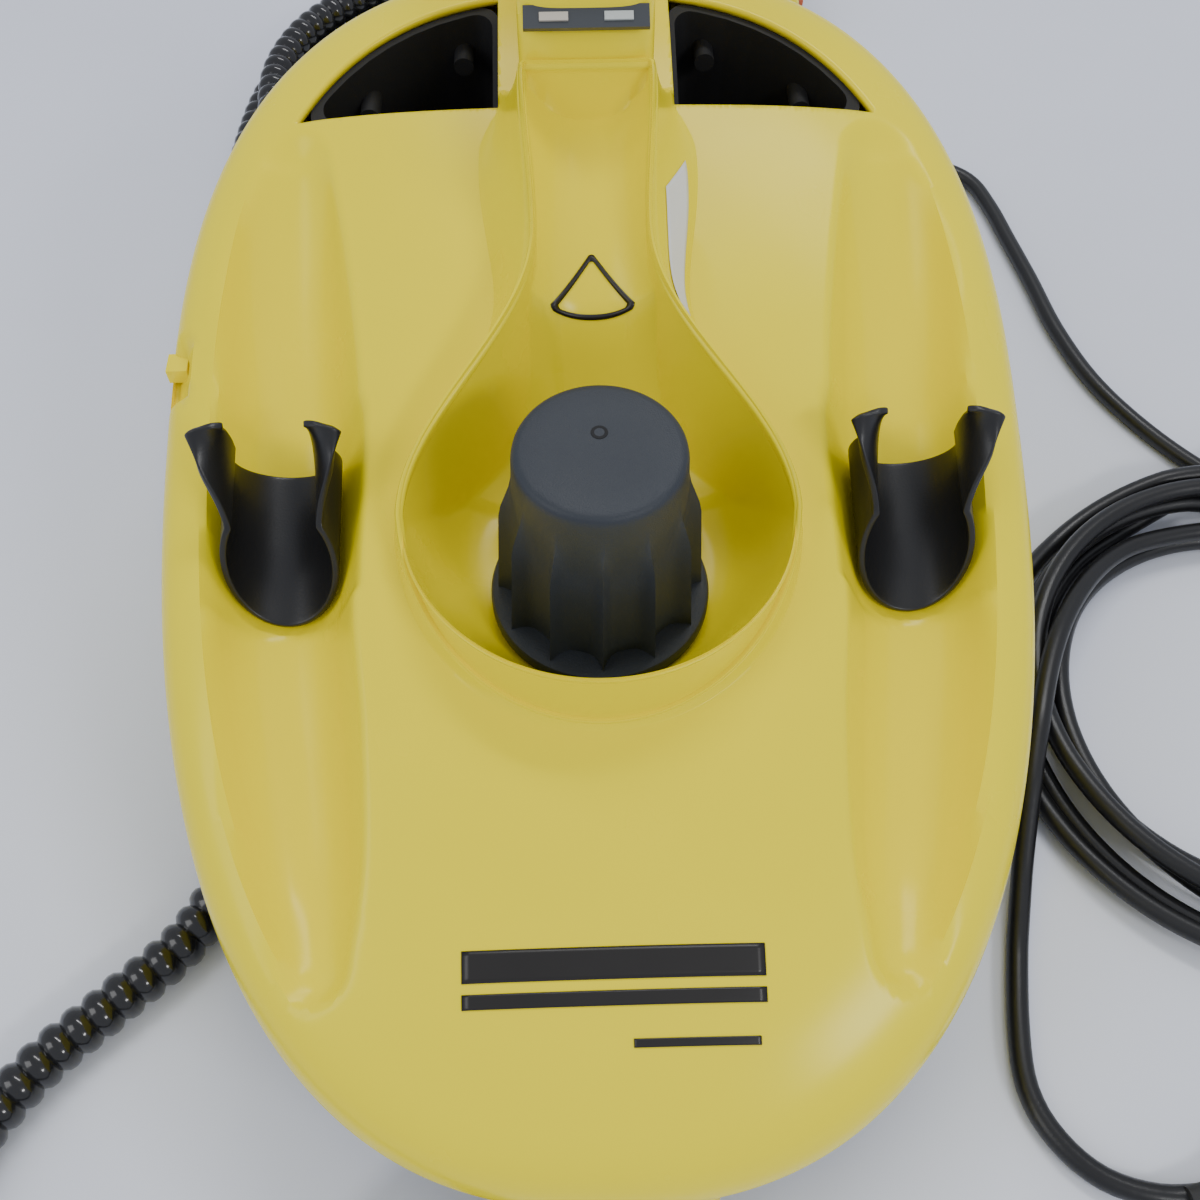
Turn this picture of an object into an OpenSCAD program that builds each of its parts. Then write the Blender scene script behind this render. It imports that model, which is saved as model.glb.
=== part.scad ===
// Canister steam cleaner with a carry handle, a filler bowl with a screw cap, two tube clips,
// a corrugated steam hose with its gun, and a mains lead.
// X runs to the right, Y to the rear and Z up. The floor is z = 0.

/* [Body] */
// Width of the body at its widest
body_w = 254; // [230:1:300]
// Length from the widest line to the front of the body
front_len = 202; // [170:1:240]
// Length from the widest line to the rear of the body
rear_len = 158; // [140:1:190]
// Y of the widest line
widest_y = 28; // [20:1:36]
// Height of the shoulder above the origin
shoulder_z = 117.5; // [112:0.5:135]
// Rise of the shoulder for each millimetre towards the rear
shoulder_slope = 0.3; // [0.26:0.01:0.34]
// Height of the middle of the deck above the shoulder
crown = 13; // [10:0.5:16]
// Wall of the moulded casings
wall = 2.5; // [2:0.1:3]
// Lower edge of the yellow skirt
skirt_z = 30; // [28:1:34]
// Underside of the base tray
base_z = 24; // [23:1:26]

/* [Filler bowl] */
// Radius of the bowl at its rim
bowl_r = 55; // [52:0.5:58]
// Y of the bowl's centre
bowl_y = -10; // [-14:1:-6]
// Radius of the bowl's floor
bowl_floor_r = 44; // [42:0.5:46]
// Height of the bowl's floor
bowl_floor_z = 107; // [105:0.5:110]
// Rise of the rim for each millimetre towards the rear
rim_slope = 0.472; // [0.44:0.002:0.5]
// Half the width of the neck, outside
neck_half = 19.5; // [18:0.5:22]
// Y where the neck meets the handle
neck_end_y = 104; // [100:1:108]

/* [Safety cap] */
// Y of the cap's axis
cap_y = -22; // [-24:1:-20]
// Radius of the cap's flange
cap_flange_r = 30.5; // [28:0.5:32]
// Radius of the knob at its top
cap_top_r = 21.8; // [20:0.1:23]
// Radius of the knob above the flange
cap_base_r = 25.5; // [24:0.1:27]
// Height of the knob above its flange
cap_h = 64; // [56:1:70]
// Number of flutes round the knob
cap_flutes = 14; // [10:1:18]
// Radius of the plug that screws into the boiler's neck
plug_r = 11; // [10:0.5:12]
// Clearance of the moving fits
fit = 0.08; // [0.04:0.01:0.1]

/* [Handle] */
// Width of the handle
handle_w = 39; // [36:0.5:44]
// Height of the top of the handle
handle_top = 260; // [250:1:275]
// Width of the soft grip
grip_w = 30; // [26:0.5:34]

/* [Tube clips] */
// Distance of each clip from the middle of the body
clip_x = 89.5; // [86:0.5:94]
// Inner radius of the clip, for a tube
clip_r = 14.5; // [13.5:0.1:15]
// Thickness of the clip
clip_t = 2; // [1.8:0.1:2.2]
// Half the width of the clip's throat
clip_throat = 10.5; // [9.5:0.1:11]
// Length of the clip along its groove
clip_len = 48; // [42:1:50]
// Y of the clip's front edge
clip_y = -26; // [-28:1:-24]
// Height of the tips of the clip above the groove
clip_h = 36; // [34:0.5:40]

/* [Boiler] */
// Radius of the boiler
boiler_r = 62; // [54:0.5:64]
// Underside of the boiler
boiler_z = 34; // [32:0.5:38]
// Height of the boiler
boiler_h = 58; // [50:0.5:60]
// Wall of the boiler
boiler_wall = 4; // [3:0.5:5]

/* [Wheels] */
// Radius of the rear wheels
wheel_r = 30; // [26:0.5:32]
// Width of the rear wheels
wheel_w = 20; // [16:0.5:22]
// Y of the rear axle
wheel_y = 128; // [124:1:132]
// X of the outer face of each rear wheel
wheel_x = 108; // [104:0.5:110]
// Radius of the rear axle
axle_r = 4; // [3:0.25:5]
// Radius of the caster wheel
caster_r = 10; // [8:0.5:10]
// Width of the caster wheel
caster_w = 14; // [12:0.5:18]
// Y of the caster's swivel
caster_y = -118; // [-124:1:-112]

/* [Hose and lead] */
// Outer diameter of the steam hose
hose_d = 16; // [14:0.5:16]
// Width of the flat mains lead
lead_d = 7; // [6:0.5:7.5]
// Mean radius of the hose's coil
hose_coil_r = 82; // [80:1:90]
// Mean radius of the lead's coil
lead_coil_r = 85; // [80:1:90]
// Half the width of the lead's coil
lead_coil_band = 19; // [16:0.5:20]

/* [Steam gun] */
// Length of the gun's barrel
gun_len = 170; // [150:1:190]
// Diameter of the gun's barrel
gun_d = 36; // [32:0.5:38]
// Length of the gun's grip below the barrel
gun_grip = 92; // [84:1:104]
// Travel of the trigger in degrees
trigger_travel = 12; // [8:1:14]

/* [Hidden] */
$fn = 48;

yellow = "#f2dc30";
black = "#1c1c1e";
dark_grey = "#30343a";
brass = "#c8a34a";
alloy = "#b9bcc0";
rubber = "#26262a";

eps = 0.01;
seat = 0.3;
front_power = 2.45;
rear_power = 2.6;
outline_steps = 72;

// ---- The body's outline and deck ----

function signed_pow(v, p) = sign(v) * pow(abs(v), p);
function outline_point(a, inset) =
  let (len = sin(a) < 0 ? front_len : rear_len)
  let (p = sin(a) < 0 ? front_power : rear_power)
  [(body_w / 2 - inset) * signed_pow(cos(a), 2 / p),
   widest_y + (len - inset) * signed_pow(sin(a), 2 / p)];
function outline(inset) =
  [for (i = [0 : outline_steps - 1]) outline_point(i * 360 / outline_steps, inset)];
function shoulder(y) = shoulder_z + shoulder_slope * y;
function ring_on_deck(inset, rise) =
  [for (p = outline(inset)) [p[0], p[1], shoulder(p[1]) + rise]];
function ring_at(inset, z) = [for (p = outline(inset)) [p[0], p[1], z]];

// Faces between rings of equal count, with both ends closed.
function strip_faces(n, rings) = [
  for (k = [0 : rings - 2], i = [0 : n - 1])
    let (a = k * n + i, b = k * n + (i + 1) % n)
    each [[a, a + n, b + n], [a, b + n, b]]
];
function end_faces(n, rings) = [
  [for (i = [0 : n - 1]) i],
  [for (i = [n - 1 : -1 : 0]) (rings - 1) * n + i]
];
module loft(rings) {
  n = len(rings[0]);
  polyhedron(
    points = [for (r = rings) each r],
    faces = concat(strip_faces(n, len(rings)), end_faces(n, len(rings))),
    convexity = 6
  );
}

// The casing's form: each pair is how far in from the outline and how far above the shoulder.
deck_section = [[0, -9], [0.8, -5], [3, -1], [7, 2.5], [14, 5.5], [30, 9], [60, crown - 1.5], [100, crown]];
skirt_inset = 6;
module casing_form(thick) {
  low = thick > 0 ? skirt_z - 1 : skirt_z;
  loft(concat(
    [ring_at(skirt_inset + thick, low)],
    [for (s = deck_section) ring_on_deck(s[0] + thick, s[1] - thick)]
  ));
}
function deck_z(x_inset, y) = shoulder(y) + lookup(x_inset, deck_section);

// ---- The tube grooves ----

groove_r = clip_r + clip_t + seat;
groove_lift = 3.5;
// The cut goes on upwards, so that the groove has no overhang.
groove_open = 24;
groove_path = [
  [77, -120, 10, 10], [81, -96, 5, 14], [86, -62, groove_lift, groove_r],
  [clip_x, -32, groove_lift, groove_r], [clip_x, 28, groove_lift, groove_r],
  [92, 70, 8, groove_r], [91, 106, 19, 15]
];
module groove(extra) {
  for (i = [0 : len(groove_path) - 2]) {
    hull() {
      for (p = [groove_path[i], groove_path[i + 1]]) {
        for (up = [0, groove_open]) {
          translate([p[0], p[1], shoulder(p[1]) + p[2] + up]) sphere(p[3] + extra, $fn = 24);
        }
      }
    }
  }
}
module both_sides() {
  children();
  mirror([1, 0, 0]) children();
}

// ---- The bowl, its rim and the neck ----

rim_z0 = 142.7;
lip = 3;
spout_slope = 0.4;
spout_z0 = 134;
function rim_z(y) = rim_z0 + rim_slope * y;
function spout_z(y) = spout_z0 + spout_slope * y;
module bowl_plan() {
  offset(r = -30) offset(delta = 30) union() {
    translate([0, bowl_y]) circle(bowl_r, $fn = 72);
    translate([-neck_half, 0]) square([2 * neck_half, neck_end_y]);
    polygon([[-44, bowl_y + 32], [44, bowl_y + 32], [neck_half, bowl_y + 66], [-neck_half, bowl_y + 66]]);
  }
}
// A wedge of space above a plane that rises towards the rear.
module above(z0, slope) {
  rotate([90, 0, 90]) translate([0, 0, -150])
    linear_extrude(300) polygon([[-250, z0 - 250 * slope], [250, z0 + 250 * slope], [250, 500], [-250, 500]]);
}
module below(z0, slope) {
  rotate([90, 0, 90]) translate([0, 0, -150])
    linear_extrude(300) polygon([[-250, z0 - 250 * slope], [250, z0 + 250 * slope], [250, -200], [-250, -200]]);
}

// ---- The storage openings ----

tray_front_y = 120;
tray_inner_x = 27;
tray_inset = 21;
tray_floor_z = 82;
tray_wall = 2;
module tray_plan(shrink) {
  offset(r = 5) offset(delta = -5 - shrink) intersection() {
    polygon(outline(tray_inset));
    translate([tray_inner_x, tray_front_y]) square([120, 80]);
  }
}

// ---- Casings ----

base_inset = skirt_inset + wall + seat;
base_top = skirt_z + 8;
arch_r = wheel_r + 4;
arch_x = wheel_x - wheel_w - 4;
socket_r = 9;
socket_top = 42;
post_xy = [[-84, -78], [84, -78], [-86, 62], [86, 62]];
post_r = 5;
post_top = 60;
screw_r = 1.8;
jacket_t = 3;
foot_angle = 45;
foot_r = 4;
foot_from = boiler_r - 8;
foot_z = boiler_z - jacket_t - seat;
vent_n = 6;

module wheel_arches() {
  both_sides() translate([arch_x, wheel_y, wheel_r]) rotate([0, 90, 0]) cylinder(r = arch_r, h = 60);
}
module base_tray() {
  color(dark_grey) difference() {
    union() {
      difference() {
        translate([0, 0, base_z]) linear_extrude(base_top - base_z) polygon(outline(base_inset));
        translate([0, 0, base_z + wall]) linear_extrude(base_top) polygon(outline(base_inset + wall));
      }
      translate([0, caster_y, base_z]) cylinder(r = socket_r, h = socket_top - base_z);
      for (p = post_xy) translate([p[0], p[1], base_z]) cylinder(r = post_r, h = post_top - base_z);
      for (a = [foot_angle : 90 : 359]) translate([foot_from * cos(a), cap_y + foot_from * sin(a), base_z])
        cylinder(r = foot_r, h = foot_z - base_z);
      both_sides() translate([arch_x - 8, wheel_y - 9, base_z]) cube([6, 18, wheel_r + 8 - base_z]);
    }
    wheel_arches();
    hose_cover_well();
    translate([0, wheel_y, wheel_r]) rotate([0, 90, 0])
      cylinder(r = axle_r + fit, h = 300, center = true);
    translate([0, caster_y, base_z - 1]) cylinder(r = swivel_r + fit, h = socket_top - base_z - 3);
    for (p = post_xy) translate([p[0], p[1], base_z - 1]) cylinder(r = screw_r, h = post_top);
    for (p = post_xy) translate([p[0], p[1], base_z - 1]) cylinder(r = 3.6, h = 5);
    for (i = [0 : vent_n - 1]) translate([-20, 84 + i * 7, base_z - 1]) cube([40, 3, 8]);
  }
}

module upper_housing() {
  color(yellow) difference() {
    casing_form(0);
    difference() {
      casing_form(wall);
      both_sides() groove(wall);
    }
    both_sides() groove(0);
    translate([0, 0, shoulder(bowl_y - bowl_r)]) linear_extrude(200) offset(delta = seat) bowl_plan();
    both_sides() translate([0, 0, tray_floor_z]) linear_extrude(200) tray_plan(-seat);
    wheel_arches();
    hose_cover_well();
    translate([-body_w / 2 - 4, hook_y - hook_len / 2, shoulder(hook_y) - 14]) cube([slot_depth + 4, hook_len, 22]);
    translate([cord_x, cord_wall_y - 12, cord_z]) rotate([-90, 0, 0]) cylinder(r = cord_hole_r, h = 40);
  }
}
module funnel_bowl() {
  bowl_bottom = bowl_floor_z - lip;
  color(yellow) difference() {
    union() {
      intersection() {
        translate([0, 0, 90]) linear_extrude(140) difference() {
          bowl_plan();
          offset(delta = -lip) bowl_plan();
        }
        below(rim_z0, rim_slope);
        above(shoulder_z + crown - 12, shoulder_slope);
      }
      intersection() {
        translate([0, 0, 90]) linear_extrude(140) offset(delta = -lip + eps) bowl_plan();
        above(spout_z0 - lip, spout_slope);
        below(spout_z0, spout_slope);
      }
      translate([0, bowl_y, bowl_bottom]) cylinder(r1 = bowl_floor_r + lip, r2 = bowl_r - lip, h = 36, $fn = 72);
      translate([-neck_half, neck_end_y - lip, spout_z(neck_end_y) - lip])
        cube([2 * neck_half, lip, strip_z - spout_z(neck_end_y) + lip]);
    }
    translate([0, bowl_y, bowl_floor_z]) cylinder(r1 = bowl_floor_r, r2 = bowl_r, h = 60, $fn = 72);
    translate([0, cap_y, bowl_bottom - 1]) cylinder(r = neck_flange_r + seat, h = 10);
    translate([0, 0, bowl_bottom - 40]) cylinder(r = 100, h = 40);
    difference() {
      above(rim_z0, rim_slope);
      translate([-60, neck_end_y - lip, 0]) cube([120, 100, 400]);
    }
  }
}
module hose_cover_well() {
  translate([0, hose_cover_y, 0]) cylinder(r = hose_cover_r + seat, h = hose_cover_top + seat, $fn = 64);
}
// The dome's crown is an arc on a straight skirt.
module dome(r, top, low) {
  crown_arc = [for (a = [0 : 10 : 80]) [r * cos(a), dome_spring + (top - dome_spring) * sin(a)]];
  rotate_extrude($fn = 64) polygon(concat([[0, low], [r, low]], crown_arc, [[0, top]]));
}
module hose_cover() {
  color(yellow) translate([0, hose_cover_y, 0]) difference() {
    dome(hose_cover_r, hose_cover_top, hose_cover_low);
    dome(hose_cover_r - wall, hose_cover_top - wall, hose_cover_low - 1);
    rotate([0, 0, hose_exit_turn]) translate([0, 0, hose_exit_z]) rotate([0, -90, 0])
      cylinder(r = gland_r + seat, h = 60);
    translate([0, 0, boiler_z + 12]) rotate([-90, 0, 0]) cylinder(r = pipe_r + seat, h = 60);
    translate([-body_w / 2, hose_cover_r * 0.3, hose_cover_low - 1]) cube([body_w, body_w, base_z + wall + 1 - hose_cover_low + 12]);
  }
}

// ---- Handle ----

handle_t = 2.5;
bar_r = 11;
front_leg_y = neck_end_y + bar_r;
rear_leg_y = widest_y + rear_len - 18;
strip_z = rim_z0 + rim_slope * neck_end_y + 10;
handle_line = [
  [front_leg_y, shoulder(front_leg_y)], [front_leg_y, strip_z - 6], [132, handle_top - 33],
  [146, handle_top - 17], [158, handle_top - bar_r], [166, handle_top - 17], [rear_leg_y, handle_top - 38],
  [rear_leg_y, shoulder(rear_leg_y)]
];
module handle_side() {
  for (i = [0 : len(handle_line) - 2]) {
    hull() {
      translate(handle_line[i]) circle(bar_r, $fn = 32);
      translate(handle_line[i + 1]) circle(bar_r, $fn = 32);
    }
  }
}
module side_extrude(width) {
  rotate([90, 0, 90]) translate([0, 0, -width / 2]) linear_extrude(width) children();
}
module handle_bar(shrink) {
  side_extrude(handle_w - 2 * shrink) offset(delta = -shrink) intersection() {
    handle_side();
    translate([neck_end_y + seat, 0]) square([200, 500]);
  }
}
// Everything above and behind the middle of the bar.
module handle_outer_side(gap) {
  side_extrude(2 * handle_w) offset(delta = -gap) polygon(concat(
    [[neck_end_y - 20, strip_z - 6]], [for (i = [1 : len(handle_line) - 1]) handle_line[i]],
    [[rear_leg_y, 100], [300, 100], [300, 400], [neck_end_y - 20, 400]]
  ));
}
module handle_cover() {
  color(yellow) difference() {
    intersection() {
      handle_bar(0);
      handle_outer_side(0);
    }
    handle_bar(handle_t);
    grip_slot(seat);
    strip_notch();
    handle_foot_cut();
  }
}
module handle_underside() {
  color(yellow) difference() {
    handle_bar(0);
    handle_bar(handle_t);
    handle_outer_side(-seat);
    strip_notch();
    handle_foot_cut();
  }
}
module handle_foot_cut() {
  rear_seat = deck_z(14, rear_leg_y + 4) + seat;
  side_extrude(2 * handle_w) polygon([
    [neck_end_y - 40, 100], [neck_end_y - 40, deck_z(90, neck_end_y - 40) + 2 * seat],
    [neck_end_y + 2 * bar_r, deck_z(60, neck_end_y + 2 * bar_r) + 2 * seat],
    [rear_leg_y - bar_r - 5, rear_seat], [300, rear_seat], [300, 100]
  ]);
}
grip_from = neck_end_y + 8;
grip_to = 160;
module grip_slot(gap) {
  intersection() {
    side_extrude(grip_w + 2 * gap) difference() {
      intersection() {
        handle_side();
        translate([grip_from - gap, strip_z - 6]) square([grip_to - grip_from + 2 * gap, 200]);
      }
      offset(delta = -handle_t - gap) handle_side();
    }
    handle_outer_side(-gap);
  }
}
module handle_grip() {
  color(rubber) grip_slot(0);
}
strip_len = 7;
module on_strip() {
  translate([0, neck_end_y - 1.5, strip_z + seat]) rotate([25, 0, 0]) children();
}
module strip_notch() {
  on_strip() translate([-handle_w / 2 + 2 - seat, -seat, -seat]) cube([handle_w - 4 + 2 * seat, strip_len + 2 * seat, 12]);
}
module lamp_window() {
  color(dark_grey) on_strip() translate([-handle_w / 2 + 2, 0, 0]) cube([handle_w - 4, strip_len, 1.5]);
}
module lamp_lens(x) {
  on_strip() translate([x, 2, 1.5]) cube([8, 2.5, 0.6]);
}
module lamp_heating() {
  color("#d06a2a") lamp_lens(-13);
}
module lamp_ready() {
  color("#58a84e") lamp_lens(5);
}
module lamp_board() {
  color("#2f6b3c") translate([-13, neck_end_y + handle_t + 2 * seat, strip_z - 22]) cube([26, 1.6, 12]);
}

// ---- Safety cap ----

neck_flange_r = 24;
neck_top_z = bowl_floor_z + 1;
flange_z = neck_top_z + 1;
flange_t = 5;
knob_top = flange_z + cap_h;
cap_core_r = 14;
cap_core_h = 34;
module cap_knob() {
  color(black) translate([0, cap_y, flange_z]) difference() {
    union() {
      cylinder(r1 = cap_flange_r, r2 = cap_flange_r - 1.5, h = flange_t, $fn = 72);
      cylinder(r1 = cap_base_r, r2 = cap_top_r, h = cap_h, $fn = 72);
    }
    translate([0, 0, -1]) cylinder(r = cap_core_r, h = cap_core_h + 1);
    for (i = [0 : cap_flutes - 1]) {
      rotate([0, 0, (i + 0.5) * 360 / cap_flutes]) translate([cap_base_r + 1.6, 0, flange_t + 4])
        rotate([0, -2, 0]) cylinder(r = 3.6, h = cap_h - flange_t - 12);
    }
    translate([0, 5.5, cap_h]) sphere(2.2, $fn = 24);
  }
}
plug_flange_t = 4;
plug_len = 20;
module cap_plug() {
  color(brass) translate([0, cap_y, 0]) {
    translate([0, 0, flange_z]) cylinder(r = cap_core_r - fit, h = plug_flange_t);
    translate([0, 0, flange_z - plug_len]) cylinder(r = plug_r, h = plug_len + eps);
  }
}
module cap_seal() {
  color(rubber) translate([0, cap_y, neck_top_z]) difference() {
    cylinder(r = plug_r + 3, h = flange_z - neck_top_z);
    translate([0, 0, -1]) cylinder(r = plug_r + fit, h = 10);
  }
}
spring_wire = 0.8;
module cap_spring() {
  color(alloy) translate([0, cap_y, flange_z + plug_flange_t]) difference() {
    cylinder(r = 9, h = cap_core_h - plug_flange_t);
    translate([0, 0, -1]) cylinder(r = 9 - 2 * spring_wire, h = cap_core_h);
  }
}

// ---- Tube clips ----

deck_tilt = atan(shoulder_slope);
module clip_profile() {
  flare_x = clip_throat + 9;
  wall_out = clip_t;
  // The cup of the clip, then the throat, then the flared tips.
  difference() {
    union() {
      translate([0, clip_r]) circle(clip_r + wall_out, $fn = 64);
      for (side = [-1, 1]) scale([side, 1]) {
        polygon([[clip_throat, clip_r + 9], [clip_throat + wall_out + 1, clip_r + 7],
          [flare_x + wall_out, clip_h], [flare_x, clip_h]]);
      }
    }
    translate([0, clip_r]) circle(clip_r, $fn = 64);
    translate([-clip_throat, clip_r]) square([2 * clip_throat, 2 * clip_h]);
  }
}
module tube_clip() {
  floor_z = shoulder(clip_y) + groove_lift - groove_r;
  translate([clip_x, clip_y, floor_z + clip_t + seat]) rotate([90 + deck_tilt, 0, 0])
    mirror([0, 0, 1]) difference() {
      linear_extrude(clip_len) clip_profile();
      // The front edge leans back from the floor of the groove.
      rotate([0, 90, 0]) translate([0, 0, -60]) linear_extrude(120)
        polygon([[0.5, 2], [0.5, 80], [-clip_h - 8, 80], [-clip_h + 4, clip_h], [-6, 2]]);
    }
}
module tube_clip_left() {
  color(black) mirror([1, 0, 0]) tube_clip();
}
module tube_clip_right() {
  color(black) tube_clip();
}

// ---- Storage trays ----

module tray_top(z_off) {
  above(shoulder_z + 5 + z_off, shoulder_slope);
}
pin_r = 3.2;
pin_len = 9;
// Each parking pin stands on the rear wall of its tray: x, y and z of its tip.
pins = [[39, 151, 158], [69, 134, 152]];
module storage_tray() {
  color(black) difference() {
    union() {
      difference() {
        translate([0, 0, tray_floor_z]) linear_extrude(130) tray_plan(0);
        translate([0, 0, tray_floor_z + tray_wall]) linear_extrude(130) tray_plan(tray_wall);
      }
      intersection() {
        for (p = pins) translate(p) rotate([-90, 0, 0]) cylinder(r = pin_r, h = 2 * pin_len);
        translate([0, 0, tray_floor_z]) linear_extrude(130) tray_plan(0);
      }
    }
    tray_top(0);
  }
}
module storage_tray_left() {
  mirror([1, 0, 0]) storage_tray();
}
module storage_tray_right() {
  storage_tray();
}

// ---- Steam outlet ----

hose_cover_y = -157;
hose_cover_r = 31;
hose_cover_top = 54;
hose_cover_low = 15;
dome_spring = 24;
hose_exit_turn = 36;
hose_exit_z = 27;
gland_r = 10.5;
gland_len = 40;
gland_start = 20;
module hose_gland() {
  color(rubber) translate([0, hose_cover_y, hose_exit_z]) rotate([0, 0, hose_exit_turn])
    rotate([0, -90, 0]) difference() {
      translate([0, 0, gland_start]) cylinder(r1 = gland_r, r2 = hose_d / 2 + 0.8, h = gland_len);
      translate([0, 0, gland_start - 1]) cylinder(r = 3, h = 20);
    }
}
pipe_r = 2.5;
module steam_pipe() {
  boiler_front = cap_y - boiler_r;
  color("#b87333") {
    translate([0, boiler_front - jacket_t, boiler_z + 12]) rotate([90, 0, 0])
      cylinder(r = pipe_r, h = -hose_cover_y + boiler_front - jacket_t + 4);
    translate([0, hose_cover_y, hose_exit_z]) sphere(r = pipe_r + 2.5);
    translate([0, hose_cover_y, hose_exit_z]) cylinder(r = pipe_r, h = boiler_z + 12 - hose_exit_z);
    translate([0, hose_cover_y, hose_exit_z]) rotate([0, 0, hose_exit_turn]) rotate([0, -90, 0])
      cylinder(r = pipe_r, h = gland_start + 18);
  }
}

// ---- Boiler ----

boiler_split = boiler_z + boiler_h / 2;
boiler_rim = 7;
gasket_t = 1.5;
module boiler_half(h, out) {
  difference() {
    union() {
      cylinder(r = boiler_r - boiler_rim, h = h);
      translate([0, 0, h - 4]) cylinder(r = out, h = 4);
    }
    translate([0, 0, boiler_wall]) cylinder(r = boiler_r - boiler_rim - boiler_wall, h = h);
  }
}
boiler_bolt_n = 8;
module bolt_ring() {
  for (i = [0 : boiler_bolt_n - 1]) rotate([0, 0, i * 360 / boiler_bolt_n])
    translate([boiler_r - boiler_rim / 2, 0, 0]) children();
}
module boiler_lower() {
  color(alloy) translate([0, cap_y, boiler_z]) difference() {
    boiler_half(boiler_h / 2 - gasket_t / 2, boiler_r);
    bolt_ring() cylinder(r = screw_r, h = boiler_h);
  }
}
module boiler_upper() {
  color(alloy) translate([0, cap_y, boiler_z + boiler_h]) mirror([0, 0, 1]) difference() {
    boiler_half(boiler_h / 2 - gasket_t / 2, boiler_r);
    bolt_ring() cylinder(r = screw_r, h = boiler_h);
    translate([0, 0, -1]) cylinder(r = neck_r, h = 20);
  }
}
module boiler_gasket() {
  color(rubber) translate([0, cap_y, boiler_split - gasket_t / 2]) difference() {
    cylinder(r = boiler_r, h = gasket_t);
    translate([0, 0, -1]) cylinder(r = boiler_r - boiler_rim - boiler_wall, h = 5);
    bolt_ring() translate([0, 0, -1]) cylinder(r = screw_r, h = 5);
  }
}
module boiler_screws() {
  color(alloy) translate([0, cap_y, boiler_split]) bolt_ring() {
    translate([0, 0, -5]) cylinder(r = screw_r, h = 10);
    translate([0, 0, 4 + gasket_t / 2]) cylinder(r = 2.6, h = 2.5);
  }
}
neck_r = 15;
module filler_neck() {
  top = boiler_z + boiler_h;
  color(brass) translate([0, cap_y, 0]) difference() {
    union() {
      translate([0, 0, top - boiler_wall]) cylinder(r = neck_r, h = neck_top_z - top + boiler_wall);
      translate([0, 0, bowl_floor_z - lip]) cylinder(r = neck_flange_r, h = neck_top_z - bowl_floor_z + lip);
    }
    translate([0, 0, top - boiler_wall - 1]) cylinder(r = plug_r + fit, h = 60);
  }
}
module boiler_jacket() {
  color("#d9d2c0") translate([0, cap_y, boiler_z - jacket_t]) difference() {
    cylinder(r = boiler_r + jacket_t, h = boiler_h / 2 + jacket_t);
    translate([0, 0, jacket_t]) cylinder(r = boiler_r + eps, h = boiler_h);
    translate([0, -boiler_r, jacket_t + 12]) rotate([90, 0, 0]) cylinder(r = pipe_r + seat, h = 20, center = true);
  }
}
module heating_element() {
  color("#8a8d92") translate([0, cap_y, boiler_z + boiler_wall + 8]) {
    rotate_extrude(angle = 300) translate([34, 0]) circle(4);
    for (a = [4, 296]) rotate([0, 0, a]) translate([34, 0, -8]) cylinder(r = 3, h = 8);
  }
}
module control_thermostat() {
  color(black) translate([-24, cap_y + 34, boiler_z + boiler_h]) cylinder(r = 9, h = 9);
}
module safety_cutout() {
  color("#efe9dc") translate([24, cap_y + 34, boiler_z + boiler_h]) cylinder(r = 8, h = 8);
}
block_y = 62;
module terminal_block() {
  color("#efe9dc") translate([-16, block_y, base_z + wall]) difference() {
    cube([32, 14, 16]);
    for (i = [0 : 2]) translate([6 + i * 10, 7, 8]) cylinder(r = 2, h = 20);
  }
}
module inner_wires() {
  color("#a03030") {
    for (x = [-10, 0, 10]) {
      translate([x, block_y + 14, base_z + wall + 6]) rotate([-90, 0, 0]) cylinder(r = 1, h = 44);
      translate([x, block_y + 7, base_z + wall + 16]) cylinder(r = 1, h = 40);
    }
  }
}

// ---- Wheels and caster ----

bore_r = axle_r + fit;
hub_t = 3;
hub_cap_r = wheel_r - 7.5;
module wheel() {
  rotate([0, 90, 0]) rotate_extrude($fn = 72) difference() {
    translate([bore_r, 0]) square([wheel_r - bore_r, wheel_w]);
    translate([0, wheel_w - hub_t]) square([hub_cap_r + seat, hub_t + 1]);
    translate([bore_r + 7, wheel_w - 9]) square([hub_cap_r - bore_r - 8, 7]);
    translate([wheel_r - 1.5, wheel_w / 2 - 1]) square([2, 2]);
  }
}
module hub_cap() {
  rotate([0, 90, 0]) translate([0, 0, wheel_w - hub_t]) cylinder(r = hub_cap_r, h = hub_t);
}
module at_wheel() {
  translate([wheel_x - wheel_w, wheel_y, wheel_r]) children();
}
module wheel_right() {
  color(black) at_wheel() wheel();
}
module wheel_left() {
  color(black) mirror([1, 0, 0]) at_wheel() wheel();
}
module hub_cap_right() {
  color(dark_grey) at_wheel() hub_cap();
}
module hub_cap_left() {
  color(dark_grey) mirror([1, 0, 0]) at_wheel() hub_cap();
}
module rear_axle() {
  half = wheel_x - hub_t - seat;
  color(alloy) translate([-half, wheel_y, wheel_r]) rotate([0, 90, 0]) cylinder(r = axle_r, h = 2 * half);
}
swivel_r = 5;
trail = 8;
fork_gap = 0.6;
module at_caster() {
  translate([0, caster_y, 0]) children();
}
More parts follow.
